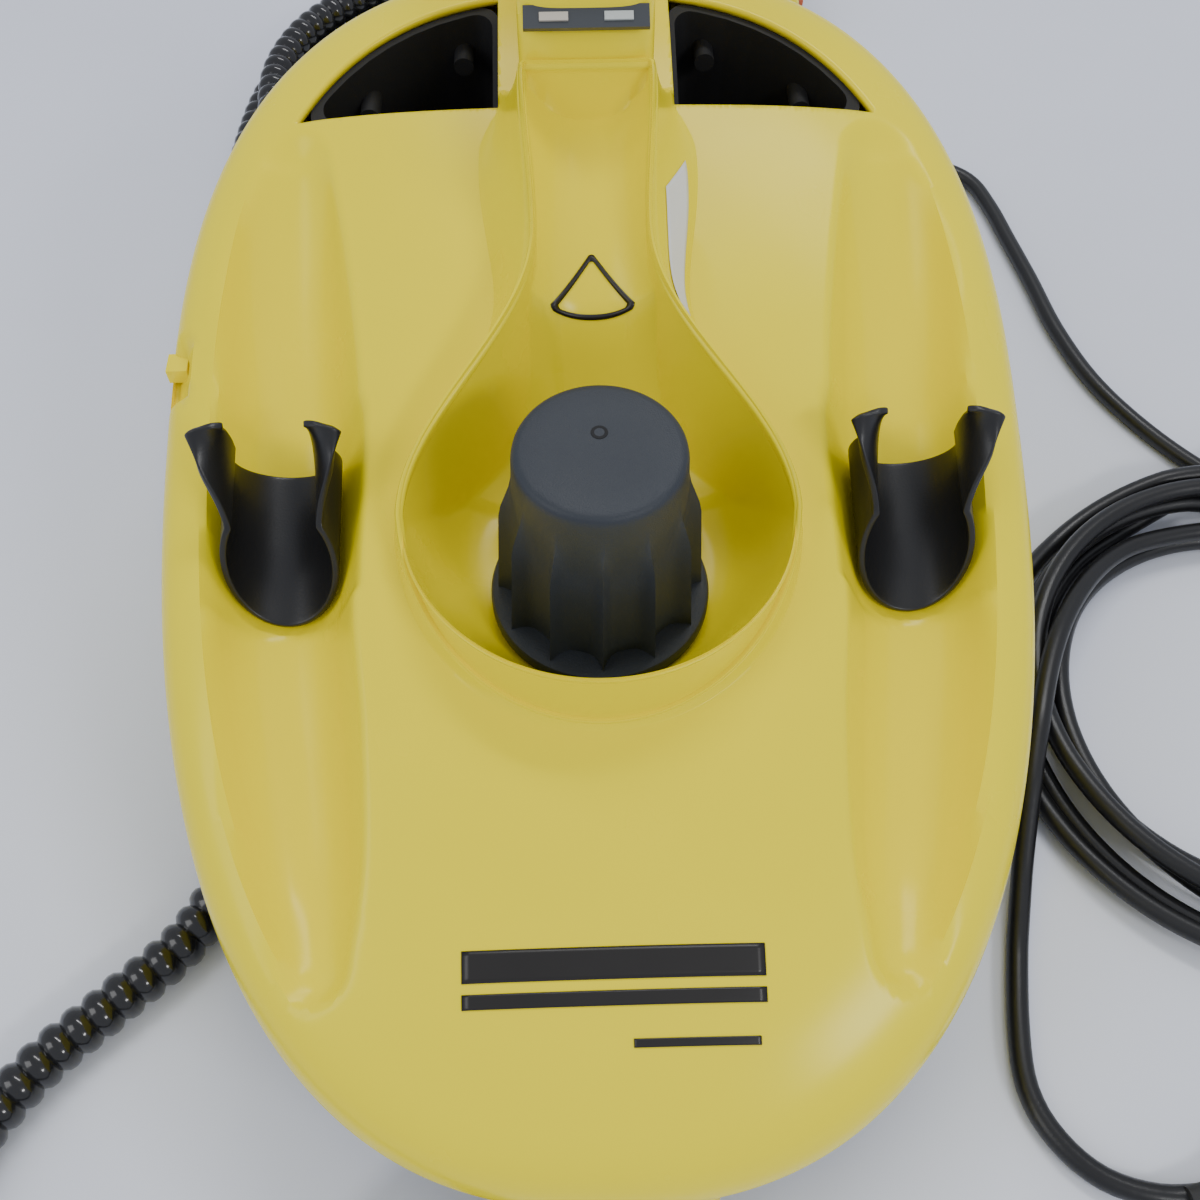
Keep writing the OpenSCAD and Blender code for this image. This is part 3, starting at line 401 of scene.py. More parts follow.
def hose_coil_points(turns):
    """Two turns side by side on the floor, then a quarter turn over them."""
    points = []
    steps = int(turns * 16)
    for i in range(1, steps):
        done = i / steps * turns
        turn = math.pi - done * 2 * math.pi
        radius = HOSE_COIL[2] + HOSE_R - HOSE_D * ease(0.78, 1.0, done) + 24 * ease(1.95, 2.25, done)
        height = HOSE_R + HOSE_D * ease(1.6, 1.82, done)
        points.append((HOSE_COIL[0] + radius * math.cos(turn), HOSE_COIL[1] + radius * math.sin(turn), height))
    return points


HOSE_TURNS = 2.25
hose_path = even_path(smooth_path(HOSE_OUT + hose_coil_points(HOSE_TURNS) + HOSE_TAIL), HOSE_PITCH / 4)
HOSE_LENGTH = path_length(hose_path) / 1000
print("hose", round(HOSE_LENGTH, 3), "m")


# %% Hose
def rib(i):
    return HOSE_R - (0.0, 0.35, 1.9, 0.35)[i % 4]


hose = finish_piece(
    "hose", tube(hose_path, rib, 20), hose_black,
    nodes=("steam_hose", "hose_coil", "hose_tail"),
)

# %% [markdown]
# ## Floor and light
# A pale, slightly glossy floor and a broad soft light from above and behind, with two smaller
# lamps whose reflections draw the small highlights on the gloss shell.

# %% Stage
floor_bm = bmesh.new()
bmesh.ops.create_grid(floor_bm, x_segments=2, y_segments=2, size=3)
floor_mesh = bpy.data.meshes.new("floor")
floor_bm.to_mesh(floor_mesh)
floor_bm.free()
floor = bpy.data.objects.new("floor", floor_mesh)
bpy.context.scene.collection.objects.link(floor)
pale_floor = finish("pale_floor", (0.82, 0.85, 0.95), 0.35, spread=0.1, grain=80, relief=0.01, mottle=0.01)
floor_mesh.materials.append(pale_floor)

world = bpy.data.worlds.new("studio")
world.use_nodes = True
world.node_tree.nodes["Background"].inputs["Color"].default_value = (0.86, 0.90, 1.0, 1)
world.node_tree.nodes["Background"].inputs["Strength"].default_value = 0.68
bpy.context.scene.world = world


def lamp(name, place, aim, size, power):
    light = bpy.data.lights.new(name, "AREA")
    light.shape = "RECTANGLE"
    light.size = size[0]
    light.size_y = size[1]
    light.energy = power
    holder = bpy.data.objects.new(name, light)
    bpy.context.scene.collection.objects.link(holder)
    holder.location = place
    holder.rotation_euler = (Vector(aim) - Vector(place)).to_track_quat("-Z", "Y").to_euler()


lamp("ceiling", (0.3, 0.9, 1.9), (0, 0, 0.1), (1.2, 0.2), 12)
lamp("window", (-1.4, -0.6, 1.4), (0, 0, 0.1), (0.8, 1.2), 8)
lamp("bench", (0.9, -1.0, 1.2), (0, 0, 0.1), (0.5, 0.2), 7)
print("3 lamps")

# %% [markdown]
# ## The shell
# The shell is one moulded skin: an oval with an upright skirt, a tight rounded shoulder and a
# gently crowned deck that rises towards the rear. Long grooves for the extension tubes run down
# both sides, and a raised rim round the bowl climbs up to the handle.
# It could be cut out of a solid with booleans, but a skin flows better. A closed loop is extruded
# again and again, from the skirt's foot inwards to the rim, and each loop is moved to its place.
# The outline is two halves of a superellipse that meet at the widest line.

# %% Outline and deck
HALF_W, FRONT_LEN, REAR_LEN, WIDEST_Y = 127.0, 202.0, 158.0, 28.0
SKIRT_Z = 30.0
DECK = [(0, -9), (0.8, -5), (3, -1), (7, 2.5), (14, 5.5), (30, 9), (60, 11.5), (100, 13)]
RIM_Z0, RIM_SLOPE = 142.7, 0.472
NECK_END_Y = 104.0
BOWL_Y, BOWL_R = -10.0, 55
CAP_Y = -22.0
BOWL_SIDE_Y, NECK_START_Y = -14, 60
NECK_HALF_W, NECK_END_HALF_W = 17.2, 19.5
RAY_FROM = Vector((0, 20, 0))
AROUND = 480


def shoulder(y):
    return 117.5 + 0.3 * y


def rim_z(y):
    return RIM_Z0 + RIM_SLOPE * y


def outline(turn, inset):
    def spread(v, power):
        return math.copysign(abs(v) ** (2 / power), v)

    c, s = math.cos(turn), math.sin(turn)
    reach, power = (REAR_LEN, 2.6) if s > 0 else (FRONT_LEN, 2.45)
    return Vector(((HALF_W - inset) * spread(c, power), WIDEST_Y + (reach - inset) * spread(s, power), 0))


def rim_half_width(y):
    """Half the width of the bowl's rim, from its front to the neck."""
    if y < BOWL_SIDE_Y:
        return math.sqrt(max(0, BOWL_R**2 - (y - BOWL_Y) ** 2))
    if y < NECK_START_Y:
        part = (y - BOWL_SIDE_Y) / (NECK_START_Y - BOWL_SIDE_Y)
        return mix(BOWL_R, NECK_HALF_W, 0.5 - 0.5 * math.cos(math.pi * part))
    return mix(NECK_HALF_W, NECK_END_HALF_W, ease(NECK_START_Y, 100, y))


def flank(y):
    """How far the neck's outer wall spreads at its foot."""
    return 1.5 + 9 * ease(-6, 58, y) + 3 * ease(40, 92, y) - 6 * ease(96, 122, y) ** 2


def rim_loop(turn, grow, rear_y):
    """Where a ray from the middle of the neck meets the rim, made wider by grow(y)."""
    direction = Vector((math.cos(turn), math.sin(turn), 0))
    near, far = 0.0, 130.0
    for _ in range(30):
        reach = (near + far) / 2
        p = direction * reach + RAY_FROM
        inside = p.y < rear_y and abs(p.x) < rim_half_width(p.y) + grow(max(p.y, BOWL_SIDE_Y))
        if p.y < BOWL_SIDE_Y:
            inside = (p - Vector((0, BOWL_Y, 0))).length < BOWL_R + grow(BOWL_SIDE_Y)
        near, far = (reach, far) if inside else (near, reach)
    return direction * near + RAY_FROM


# %% Grooves for the tubes
# Each row holds y, the distance from the middle, the lift over the shoulder and the radius.
GROOVE = [
    (-120, 77, 10, 10), (-96, 81, 5, 13.5), (-62, 86, 3.5, 16), (-32, 89.5, 3.5, 16.5),
    (28, 89.5, 3.5, 16.5), (70, 92, 8, 16.5), (106, 91, 19, 15),
]


GROOVE_TURN_OUT, GROOVE_TURN_DEPTH, GROOVE_LEAN = 0.9, 0.436, 2.1


def groove_z(x, y):
    """The groove's surface: the lower part of a round channel whose walls lean outwards."""
    end = max(GROOVE[0][0] - y, y - GROOVE[-1][0], 0)
    yy = clamp(y, GROOVE[0][0], GROOVE[-1][0])
    middle, lift, radius = (table([(row[0], row[k]) for row in GROOVE], yy) for k in (1, 2, 3))
    radius += 1.4 * (ease(-27, -24, y) - ease(25, 30, y))
    away = math.hypot(abs(x) - middle, end)
    turn_out = GROOVE_TURN_OUT * radius
    if away < turn_out:
        return shoulder(y) + lift - math.sqrt(radius**2 - away**2)
    return shoulder(y) + lift - GROOVE_TURN_DEPTH * radius + (away - turn_out) * GROOVE_LEAN


def deck_z(x, y, inset):
    z = shoulder(y) + table(DECK, inset)
    if abs(x) > 55 and -136 < y < 124:
        z = soft_min(z, groove_z(x, y), 3)
    if x < 0 and 35 < y < 55:
        z -= 7 * ease(35.5, 37, y) * (1 - ease(53, 54.5, y)) * ease(0.4, 1, inset) * (1 - ease(6.5, 7.5, inset))
    return z


# %% [markdown]
# Each loop keeps a number on its vertices, so that after an extrusion every new vertex knows its
# place round the outline. The wheel arches and the two tray openings are left out of the skin by
# deleting faces, after the edge has been cut clean with a plane or moved onto the arch's circle.

# %% Growing a skin from loops
def grow_skin(loops):
    """Extrudes a closed loop of vertices from each list of points to the next."""
    bm = bmesh.new()
    number = bm.verts.layers.int.new("number")
    ring = bmesh.ops.create_circle(bm, segments=len(loops[0]), radius=1)["verts"]
    ring.sort(key=lambda v: math.atan2(v.co.y, v.co.x) % (2 * math.pi))
    for k, v in enumerate(ring):
        v[number] = k
        v.co = loops[0][k]
    edges = list(bm.edges)
    for points in loops[1:]:
        made = bmesh.ops.extrude_edge_only(bm, edges=edges)["geom"]
        fresh = {v for v in made if isinstance(v, bmesh.types.BMVert)}
        for v in fresh:
            v.co = points[v[number]]
        edges = [e for e in made if isinstance(e, bmesh.types.BMEdge) and fresh.issuperset(e.verts)]
    return bm


def close_ends(bm, sides):
    """Fills the open ends of a grown skin."""
    bmesh.ops.holes_fill(bm, edges=[e for e in bm.edges if e.is_boundary], sides=sides)


def cut(bm, faces, at, normal, **options):
    """Cuts the given faces along a plane."""
    edges = dict.fromkeys(e for f in faces for e in f.edges)
    verts = dict.fromkeys(v for f in faces for v in f.verts)
    bmesh.ops.bisect_plane(bm, geom=[*faces, *edges, *verts], plane_co=at, plane_no=normal, **options)


def spun(points, centre, axis, steps):
    """A profile of points, spun once round an axis."""
    bm = bmesh.new()
    profile = [bm.verts.new(p) for p in points]
    edges = [bm.edges.new(pair) for pair in zip(profile, profile[1:])]
    bmesh.ops.spin(
        bm, geom=profile + edges, cent=centre, axis=axis, angle=2 * math.pi, steps=steps, use_merge=True
    )
    return bm


turns = [2 * math.pi * (k + 0.5) / AROUND for k in range(AROUND)]
EDGE_INSET = 34.0
shell_loops = []
for k in range(11):
    up = k / 10
    shell_loops.append([
        Vector((*outline(t, 6 * (1 - up) ** 1.3).xy, mix(SKIRT_Z, shoulder(outline(t, 0).y) - 9, up)))
        for t in turns
    ])
DECK_INSETS = (
    0.3, 0.8, 1.5, 2.4, 3.6, 5, 7, 9, 11.5, 14, 16, 18, 19.5, 21, 22.5, 24, 25.5, 27, 28.5, 30, 32, EDGE_INSET
)
for inset in DECK_INSETS:
    ring = [outline(t, inset) for t in turns]
    shell_loops.append([Vector((p.x, p.y, deck_z(p.x, p.y, inset))) for p in ring])

edge_ring = [outline(t, EDGE_INSET) for t in turns]
headings = [math.atan2(p.y - RAY_FROM.y, p.x) for p in edge_ring]
foot_ring = [rim_loop(h, flank, 126.0) for h in headings]
rim_ring = [rim_loop(h, lambda y: 0.0, NECK_END_Y) for h in headings]
DECK_LOOPS, FLANK_LOOPS = 50, 9
for j in range(1, DECK_LOOPS + 1):
    loop = []
    for p, q in zip(edge_ring, foot_ring):
        at = p.lerp(q, j / DECK_LOOPS)
        loop.append(Vector((at.x, at.y, deck_z(at.x, at.y, EDGE_INSET + (at - p).length))))
    shell_loops.append(loop)
foot_z = [p.z for p in shell_loops[-1]]
for j in range(1, FLANK_LOOPS + 1):
    up = j / FLANK_LOOPS
    loop = []
    for p, q, low in zip(foot_ring, rim_ring, foot_z):
        at = p.lerp(q, up)
        loop.append(Vector((at.x, at.y, mix(low, max(rim_z(q.y), low), up**1.35))))
    shell_loops.append(loop)
print(len(shell_loops), "loops of", AROUND)

# %% Shell
ARCH_R, ARCH_X, WHEEL_Y, WHEEL_Z = 34.0, 84.0, 128.0, 30.0
TRAY_FRONT_Y, TRAY_INNER_X, TRAY_INSET = 120.0, 27.0, 21.0


def inset_of(x, y):
    """How far a point lies inside the outline, measured like the loops' insets."""
    low, high = 0.0, 120.0
    reach, power = (REAR_LEN, 2.6) if y > WIDEST_Y else (FRONT_LEN, 2.45)
    for _ in range(24):
        inset = (low + high) / 2
        outside = (abs(x) / (HALF_W - inset)) ** power + (abs(y - WIDEST_Y) / (reach - inset)) ** power > 1
        low, high = (low, inset) if outside else (inset, high)
    return low


def in_tray(x, y):
    return y > TRAY_FRONT_Y and abs(x) > TRAY_INNER_X and inset_of(x, y) > TRAY_INSET


shell_bm = grow_skin(shell_loops)
TRAY_EDGES = (
    ((0, TRAY_FRONT_Y, 0), (0, 1, 0)), ((TRAY_INNER_X, 0, 0), (1, 0, 0)), ((-TRAY_INNER_X, 0, 0), (1, 0, 0)),
)
for plane, normal in TRAY_EDGES:
    near = [f for f in shell_bm.faces if f.calc_center_median().y > 105 and f.calc_center_median().z > 120]
    cut(shell_bm, near, plane, normal, dist=0.05)
gone = []
for f in shell_bm.faces:
    c = f.calc_center_median()
    arch = c.z < 100 and abs(c.x) > ARCH_X and math.hypot(c.y - WHEEL_Y, c.z - WHEEL_Z) < ARCH_R
    if arch or (c.y > 110 and c.z > 120 and in_tray(c.x, c.y)):
        gone.append(f)
bmesh.ops.delete(shell_bm, geom=gone, context="FACES")
for v in shell_bm.verts:
    near_arch = abs(v.co.x) > ARCH_X and SKIRT_Z < v.co.z < 80 and abs(v.co.y - WHEEL_Y) < ARCH_R + 6
    if v.is_boundary and near_arch:
        away = Vector((v.co.y - WHEEL_Y, v.co.z - WHEEL_Z)).normalized() * ARCH_R
        v.co.y, v.co.z = WHEEL_Y + away.x, WHEEL_Z + away.y
finish_piece("shell", shell_bm, yellow, nodes=("upper_housing",), wall=2.2, facing=UP)

# %% [markdown]
# ## The filler bowl
# Inside the rim a thin bright lip drops to a steep wall, a flat-bottomed bowl round the cap, and
# a U-shaped trough that runs back up to the handle. It grows inwards from the rim in the same
# way: each loop is nearer to the cap, and its height is read from the bowl's own shape.

# %% Bowl
BOWL_FLOOR_Z = 107.0


TROUGH = [(8, 107), (16, 112), (24, 121), (34, 133.5), (46, 146), (60, 156.5), (80, 166.5), (104, 176)]


def bowl_z(x, y):
    from_middle = math.hypot(x, y - BOWL_Y)
    side = BOWL_FLOOR_Z + 33.5 * (max(0, from_middle - 30) / 25) ** 2.6
    trough = table(TROUGH, y) + 9 * (abs(x) / 16) ** 2.4
    return soft_min(side, mix(side, trough, ease(8, 26, y)), 6)


LIP = 1.5
inner_ring = [rim_loop(h, lambda y: -LIP, NECK_END_Y - 0.6) for h in headings]
bowl_loops = [
    [Vector((p.x, p.y, rim_z(p.y) - 6)) for p in rim_ring],
    [Vector((p.x, p.y, max(rim_z(p.y), z))) for p, z in zip(rim_ring, foot_z)],
    [Vector((*p.lerp(q, 0.25).xy, rim_z(p.y) + 0.75)) for p, q in zip(rim_ring, inner_ring)],
    [Vector((*p.lerp(q, 0.75).xy, rim_z(p.y) + 0.75)) for p, q in zip(rim_ring, inner_ring)],
    [Vector((*q.xy, rim_z(q.y))) for q in inner_ring],
]
CAP_CENTRE = Vector((0, CAP_Y, 0))
BOWL_LOOPS = 46
for j in range(1, BOWL_LOOPS + 1):
    part = (j / BOWL_LOOPS) ** 1.5
    loop = []
    for q in inner_ring:
        near_cap = CAP_CENTRE + (q - CAP_CENTRE).normalized() * 22
        at = q.lerp(near_cap, part)
        drop = (at - q).length
        floor_z = bowl_z(at.x, at.y)
        loop.append(Vector((at.x, at.y, soft_max(floor_z, rim_z(q.y) - drop * 7, 2.5))))
    bowl_loops.append(loop)
bowl_bm = grow_skin(bowl_loops)
finish_piece("bowl", bowl_bm, yellow, nodes=("funnel_bowl",), wall=1.0, facing=UP)

# %% [markdown]
# ## The safety cap
# The cap is a tall grained knob with twelve narrow ridges. The ridges fade out below the smooth
# top and end in points on the flange, and between them the sides are scooped a little hollow.
# It is a loop again, whose radius follows a star with hollow sides.

# %% Cap
FLANGE_Z, KNOB_H, RIDGES = 109.0, 64.0, 12


def knob_radius(turn, height):
    base = mix(24.6, 21.8, height / KNOB_H)
    wave = abs(((turn * RIDGES / (2 * math.pi)) % 1) - 0.5) * 2
    ridge = 3.6 * wave**5 - 1.5 * (1 - wave**2)
    return base + ridge * (1 - ease(KNOB_H - 26, KNOB_H - 9, height)) * mix(1.15, 0.8, height / KNOB_H)


cap_turns = [2 * math.pi * k / 288 for k in range(288)]


def round_loop(radius, z):
    return [Vector((radius * math.cos(t), CAP_Y + radius * math.sin(t), z)) for t in cap_turns]


cap_loops = [round_loop(14, FLANGE_Z + 1), round_loop(29.6, FLANGE_Z), round_loop(30.5, FLANGE_Z + 0.8)]
cap_loops += [round_loop(30.5, FLANGE_Z + 3.6), round_loop(30.0, FLANGE_Z + 4.6), round_loop(29.0, FLANGE_Z + 5)]
for h in (5.2, 6, 9, 14, 20, 27, 34, 38, 42, 46, 50, 54, 58, 61):
    cap_loops.append([
        Vector((knob_radius(t, h) * math.cos(t), CAP_Y + knob_radius(t, h) * math.sin(t), FLANGE_Z + h))
        for t in cap_turns
    ])
for inset, drop in ((0.15, 1.6), (0.6, 0.7), (1.4, 0.2), (2.6, 0), (8, 0.1), (15, 0.3), (21.7, 0.4)):
    cap_loops.append(round_loop(21.85 - inset, FLANGE_Z + KNOB_H - drop))
cap_bm = grow_skin(cap_loops)
close_ends(cap_bm, 300)
finish_piece("safety_cap", cap_bm, slate, body="cap", nodes=("cap_knob",))

MARK_Y, MARK_Z = CAP_Y + 5.5, FLANGE_Z + KNOB_H - 0.25
mark = [(2.3, -0.3), (2.1, 0.06), (1.8, 0.1), (1.5, 0.02), (0.8, -0.25), (0, -0.3)]
mark_bm = spun([(r, MARK_Y, MARK_Z + lift) for r, lift in mark], (0, MARK_Y, 0), (0, 0, 1), 32)
finish_piece("cap_gate_mark", mark_bm, matt_black, body="cap", facing=UP)

# %% [markdown]
# ## Tube clips
# A clip is one bent band: a round cup, a narrow throat and two flared arms with rounded tips.
# Its front edge leans back, so the cup starts first and the arms start later. Rows of points, each
# the band's section slid back by its height, are laid along the groove and joined by faces.

# %% Clips
CLIP_R, CLIP_LEN, CLIP_X, CLIP_Y, CLIP_H = 14.5, 48.0, 89.5, -26.0, 42.0
TILT = math.atan(0.3)
CLIP_FLOOR = shoulder(CLIP_Y) + 3.5 - 16.8 + 2.0 + 0.3


def clip_section():
    """Points of one side, from the floor's middle to the arm's tip: x, height and flare."""
    angles = [math.radians(8 * k) for k in range(17)]
    points = [(CLIP_R * math.sin(a), CLIP_R - CLIP_R * math.cos(a), 0.0) for a in angles]
    x0, h0, _ = points[-1]
    for k in range(1, 12):
        up = k / 11
        points.append((mix(x0, 10.8, ease(0, 0.35, up)), h0 + up * (CLIP_H - h0), up**1.25))
    return points


def clip_band(side):
    half = clip_section()
    section = [(-x, h, f) for x, h, f in reversed(half[1:])] + half
    bm = bmesh.new()
    rows = 15
    along_axis = Vector((0, math.cos(TILT), math.sin(TILT)))
    upright = Vector((0, -math.sin(TILT), math.cos(TILT)))
    previous = None
    for r in range(rows):
        part = r / (rows - 1)
        current = []
        for x, h, flared in section:
            start = 2 + h * 0.9 + 2.5 * (h / CLIP_H) ** 6
            tip = 5.0 * max(0, h - CLIP_H + 7) / 7
            along = mix(start + tip * 0.5, CLIP_LEN - tip * 0.4, part)
            wide = x + math.copysign(10.5 * flared * (1 - part), x)
            height = h - max(0, h - CLIP_H + 5) * (2 * part - 1) ** 4 * 0.5
            at = Vector((side * (CLIP_X + wide), CLIP_Y, CLIP_FLOOR)) + along_axis * along + upright * height
            current.append(bm.verts.new(at))
        if previous:
            for k in range(len(current) - 1):
                bm.faces.new((previous[k], previous[k + 1], current[k + 1], current[k]))
        previous = current
    return bm


for side, name in ((-1, "left"), (1, "right")):
    clip = finish_piece(
        f"clip_{name}", clip_band(side), satin_black,
        nodes=(f"tube_clip_{name}",), wall=2.0, bevel=0.6,
    )
    smooth = clip.modifiers.new("smooth", "SUBSURF")
    smooth.levels = smooth.render_levels = 1

# %% [markdown]
# ## The carry handle
# The handle is a rounded bar that rises out of the neck, leans back and comes down to the rear
# of the shell. A rounded section, a superellipse, is carried along the bar's middle line. The
# soft grip pad is a thin crowned strip carried along the same line, just above the bar.

# %% Handle
HANDLE_LINE = [
    (115, 132), (115, 165), (115.5, 194), (122, 212), (132, 228), (143, 242), (152, 248.5), (160, 249),
    (166, 243), (168, 228), (168, 205), (168, 180), (168, 158),
]
HANDLE_HALF_W, HANDLE_HALF_T = 19.5, 11.0


def handle_rows(points):
    """Points on the bar's middle line, each with the direction that points out of the loop."""
    line = smooth_path([(0, y, z) for y, z in points], 5)
    rows = []
    for i, at in enumerate(line):
        ahead = (line[min(i + 1, len(line) - 1)] - line[max(i - 1, 0)]).normalized()
        rows.append((at, Vector((0, -ahead.z, ahead.y))))
    return rows


def rounded(turn, half_w, half_t, power=4.5):
    c, s = math.cos(turn), math.sin(turn)
    return (
        half_w * math.copysign(abs(c) ** (2 / power), c),
        half_t * math.copysign(abs(s) ** (2 / power), s),
    )


def bar_half_thickness(z):
    """The bar is thinner where the grip pad lies on it."""
    return HANDLE_HALF_T - 2.2 * ease(225, 247, z)


handle_loops = []
for at, out in handle_rows(HANDLE_LINE):
    thick = bar_half_thickness(at.z)
    loop = []
    for k in range(64):
        x, lift = rounded(2 * math.pi * k / 64, HANDLE_HALF_W, thick)
        loop.append(at + Vector((x, 0, 0)) + out * lift)
    handle_loops.append(loop)
handle_bm = grow_skin(handle_loops)
close_ends(handle_bm, 70)
finish_piece("handle", handle_bm, yellow, nodes=("handle_cover", "handle_underside"))

pad_bm = bmesh.new()
pad_rows = [row for row in handle_rows(HANDLE_LINE) if row[0].y > 118 and row[0].z > 200 and row[0].y < 165]
bmesh.ops.create_grid(pad_bm, x_segments=len(pad_rows) - 1, y_segments=14, size=0.5)
for v in pad_bm.verts:
    at, out = pad_rows[round((v.co.x + 0.5) * (len(pad_rows) - 1))]
    across = 2 * v.co.y
    end = min(v.co.x + 0.5, 0.5 - v.co.x) * 2
    width = 15 * (1 - 0.35 * (1 - ease(0, 0.16, end)) ** 2)
    crown = 1.1 * (1 - across**6) * ease(0, 0.1, end) - 0.35
    v.co = at + Vector((across * width, 0, 0)) + out * (bar_half_thickness(at.z) + crown)
finish_piece("grip_pad", pad_bm, soft_black, nodes=("handle_grip",), wall=1.2, bevel=0.4, facing=UP)

# %% [markdown]
# ## The dome over the steam outlet
# A dome is a profile spun once round its own axis and given a wall. Its lower rear is open, which
# leaves the caster room to swivel, and a short collar, spun round the hose's direction, meets the
# rubber sleeve.

# %% Dome
DOME_Y, DOME_R, DOME_TOP, DOME_SPRING, DOME_LOW = -157.0, 31.0, 54.0, 24.0, 15.0
dome_profile = [(DOME_R, DOME_Y, DOME_LOW)]
for k in range(15):
    a = math.radians(90 * k / 15)
    dome_profile.append((DOME_R * math.cos(a), DOME_Y, DOME_SPRING + (DOME_TOP - DOME_SPRING) * math.sin(a)))
dome_profile.append((0, DOME_Y, DOME_TOP))
dome_bm = spun(dome_profile, (0, DOME_Y, 0), (0, 0, 1), 72)
DOME_OPEN_Y, DOME_OPEN_Z = -147.7, 38.5
cut(dome_bm, dome_bm.faces[:], (0, DOME_OPEN_Y, 0), (0, 1, 0))
cut(dome_bm, dome_bm.faces[:], (0, 0, DOME_OPEN_Z), (0, 0, 1))
caster_room = []
for f in dome_bm.faces:
    middle = f.calc_center_median()
    if middle.y > DOME_OPEN_Y and middle.z < DOME_OPEN_Z:
        caster_room.append(f)
bmesh.ops.delete(dome_bm, geom=caster_room, context="FACES")
finish_piece("outlet_dome", dome_bm, yellow, nodes=("hose_cover",), wall=2.0, facing=UP)

EXIT_TURN, EXIT_Z = math.radians(36), 27.0
COLLAR = ((26, 11.6), (32.4, 11.6), (33.4, 11.2), (33.8, 10.4), (33.4, 9.4))
dome_middle = Vector((0, DOME_Y, EXIT_Z))
along_hose = Vector((-math.cos(EXIT_TURN), -math.sin(EXIT_TURN), 0))
side_of_hose = Vector((-along_hose.y, along_hose.x, 0))
collar = [dome_middle + along_hose * out + side_of_hose * radius for out, radius in COLLAR]
finish_piece("outlet_collar", spun(collar, dome_middle, along_hose, 40), yellow)

# %% [markdown]
# ## Printed marks and the blank sticker
# The prints are generic: two plain bars, a short line and an empty triangle, each a thin patch
# that takes its height from the shell or the trough below it. The sticker has no print at all.
# The bars are flat grids and the triangle is a ring, and every vertex is then set on the surface.

# %% Prints
def on_deck(x, y):
    return deck_z(x, y, inset_of(x, y))


def print_patch(name, x0, x1, y0, y1, height_at, material):
    bm = bmesh.new()
    bmesh.ops.create_grid(bm, x_segments=36, y_segments=6, size=0.5)
    for v in bm.verts:
        x, y = mix(x0, x1, v.co.x + 0.5), mix(y0, y1, v.co.y + 0.5)
        v.co = Vector((x, y, height_at(x, y) + 0.35))
    return finish_piece(name, bm, material, wall=0.3, facing=UP)


print_patch("front_bar_broad", -38, 39, -126, -118.5, on_deck, print_black)
print_patch("front_bar_thin", -38, 39, -132, -128.5, on_deck, print_black)
print_patch("front_line", 5, 37, -141.5, -139.5, on_deck, print_black)

triangle_bm = bmesh.new()
TRIANGLE_Y, TRIANGLE_R, TRIANGLE_LINE, TRIANGLE_STEPS = 52.5, 13.0, 1.15, 120


def triangle_reach(turn, radius):
    """How far a triangle with rounded corners reaches from its middle."""
    sixth = (turn - math.pi / 2) % (2 * math.pi / 3) - math.pi / 3
    return min(radius / 2 / math.cos(sixth), radius * 0.93)


bmesh.ops.create_circle(triangle_bm, segments=TRIANGLE_STEPS, radius=1)
bmesh.ops.extrude_edge_only(triangle_bm, edges=list(triangle_bm.edges))
for k, v in enumerate(triangle_bm.verts):
    turn = math.atan2(v.co.y, v.co.x)
    reach = triangle_reach(turn, TRIANGLE_R - (2 * TRIANGLE_LINE if k < TRIANGLE_STEPS else 0))
    x, y = 1.12 * reach * math.cos(turn), TRIANGLE_Y + 0.8 * reach * math.sin(turn)
    v.co = Vector((x, y, bowl_z(x, y) + 0.45))
finish_piece("trough_triangle", triangle_bm, print_black, wall=0.3, facing=UP)

# %% Sticker
sticker_bm = bmesh.new()
bmesh.ops.create_grid(sticker_bm, x_segments=16, y_segments=8, size=0.5)
STICKER_Y, STICKER_UP = (42, 66), (0.25, 0.72)


def flank_point(y, up):
    """A point on the neck's right flank, from its foot (0) to the rim (1)."""
    low, high = math.atan2(-40, 40), math.atan2(90, 17)
    for _ in range(24):
        turn = (low + high) / 2
        rim = rim_loop(turn, lambda v: 0.0, NECK_END_Y)
        low, high = (turn, high) if rim.y < y else (low, turn)
    foot = rim_loop(turn, flank, 108.0)
    at = foot.lerp(rim, up)
    foot_height = deck_z(foot.x, foot.y, inset_of(foot.x, foot.y))
    return Vector((at.x, at.y, mix(foot_height, rim_z(rim.y), up**1.35)))


for v in sticker_bm.verts:
    y, up = mix(*STICKER_Y, v.co.x + 0.5), mix(*STICKER_UP, v.co.y + 0.5)
    at = flank_point(y, up)
    out = (flank_point(y + 1, up) - at).cross(flank_point(y, up + 0.02) - at).normalized()
    v.co = at + out * (0.5 if out.x > 0 else -0.5)
finish_piece(
    "blank_sticker", sticker_bm, paper,
    nodes=("paper_sticker",), wall=0.25, facing=Vector((1, 0, 0)),
)

# %% [markdown]
# ## The plug
# The plug is a moulded rubber block with finger ribs and a tapered tail on the lead. It grows from
# loops too: rounded sections that widen and narrow along its length, which gives the ribs.

# %% Plug
PLUG_AT, PLUG_TURN = Vector((180, -168, 0)), math.radians(8)
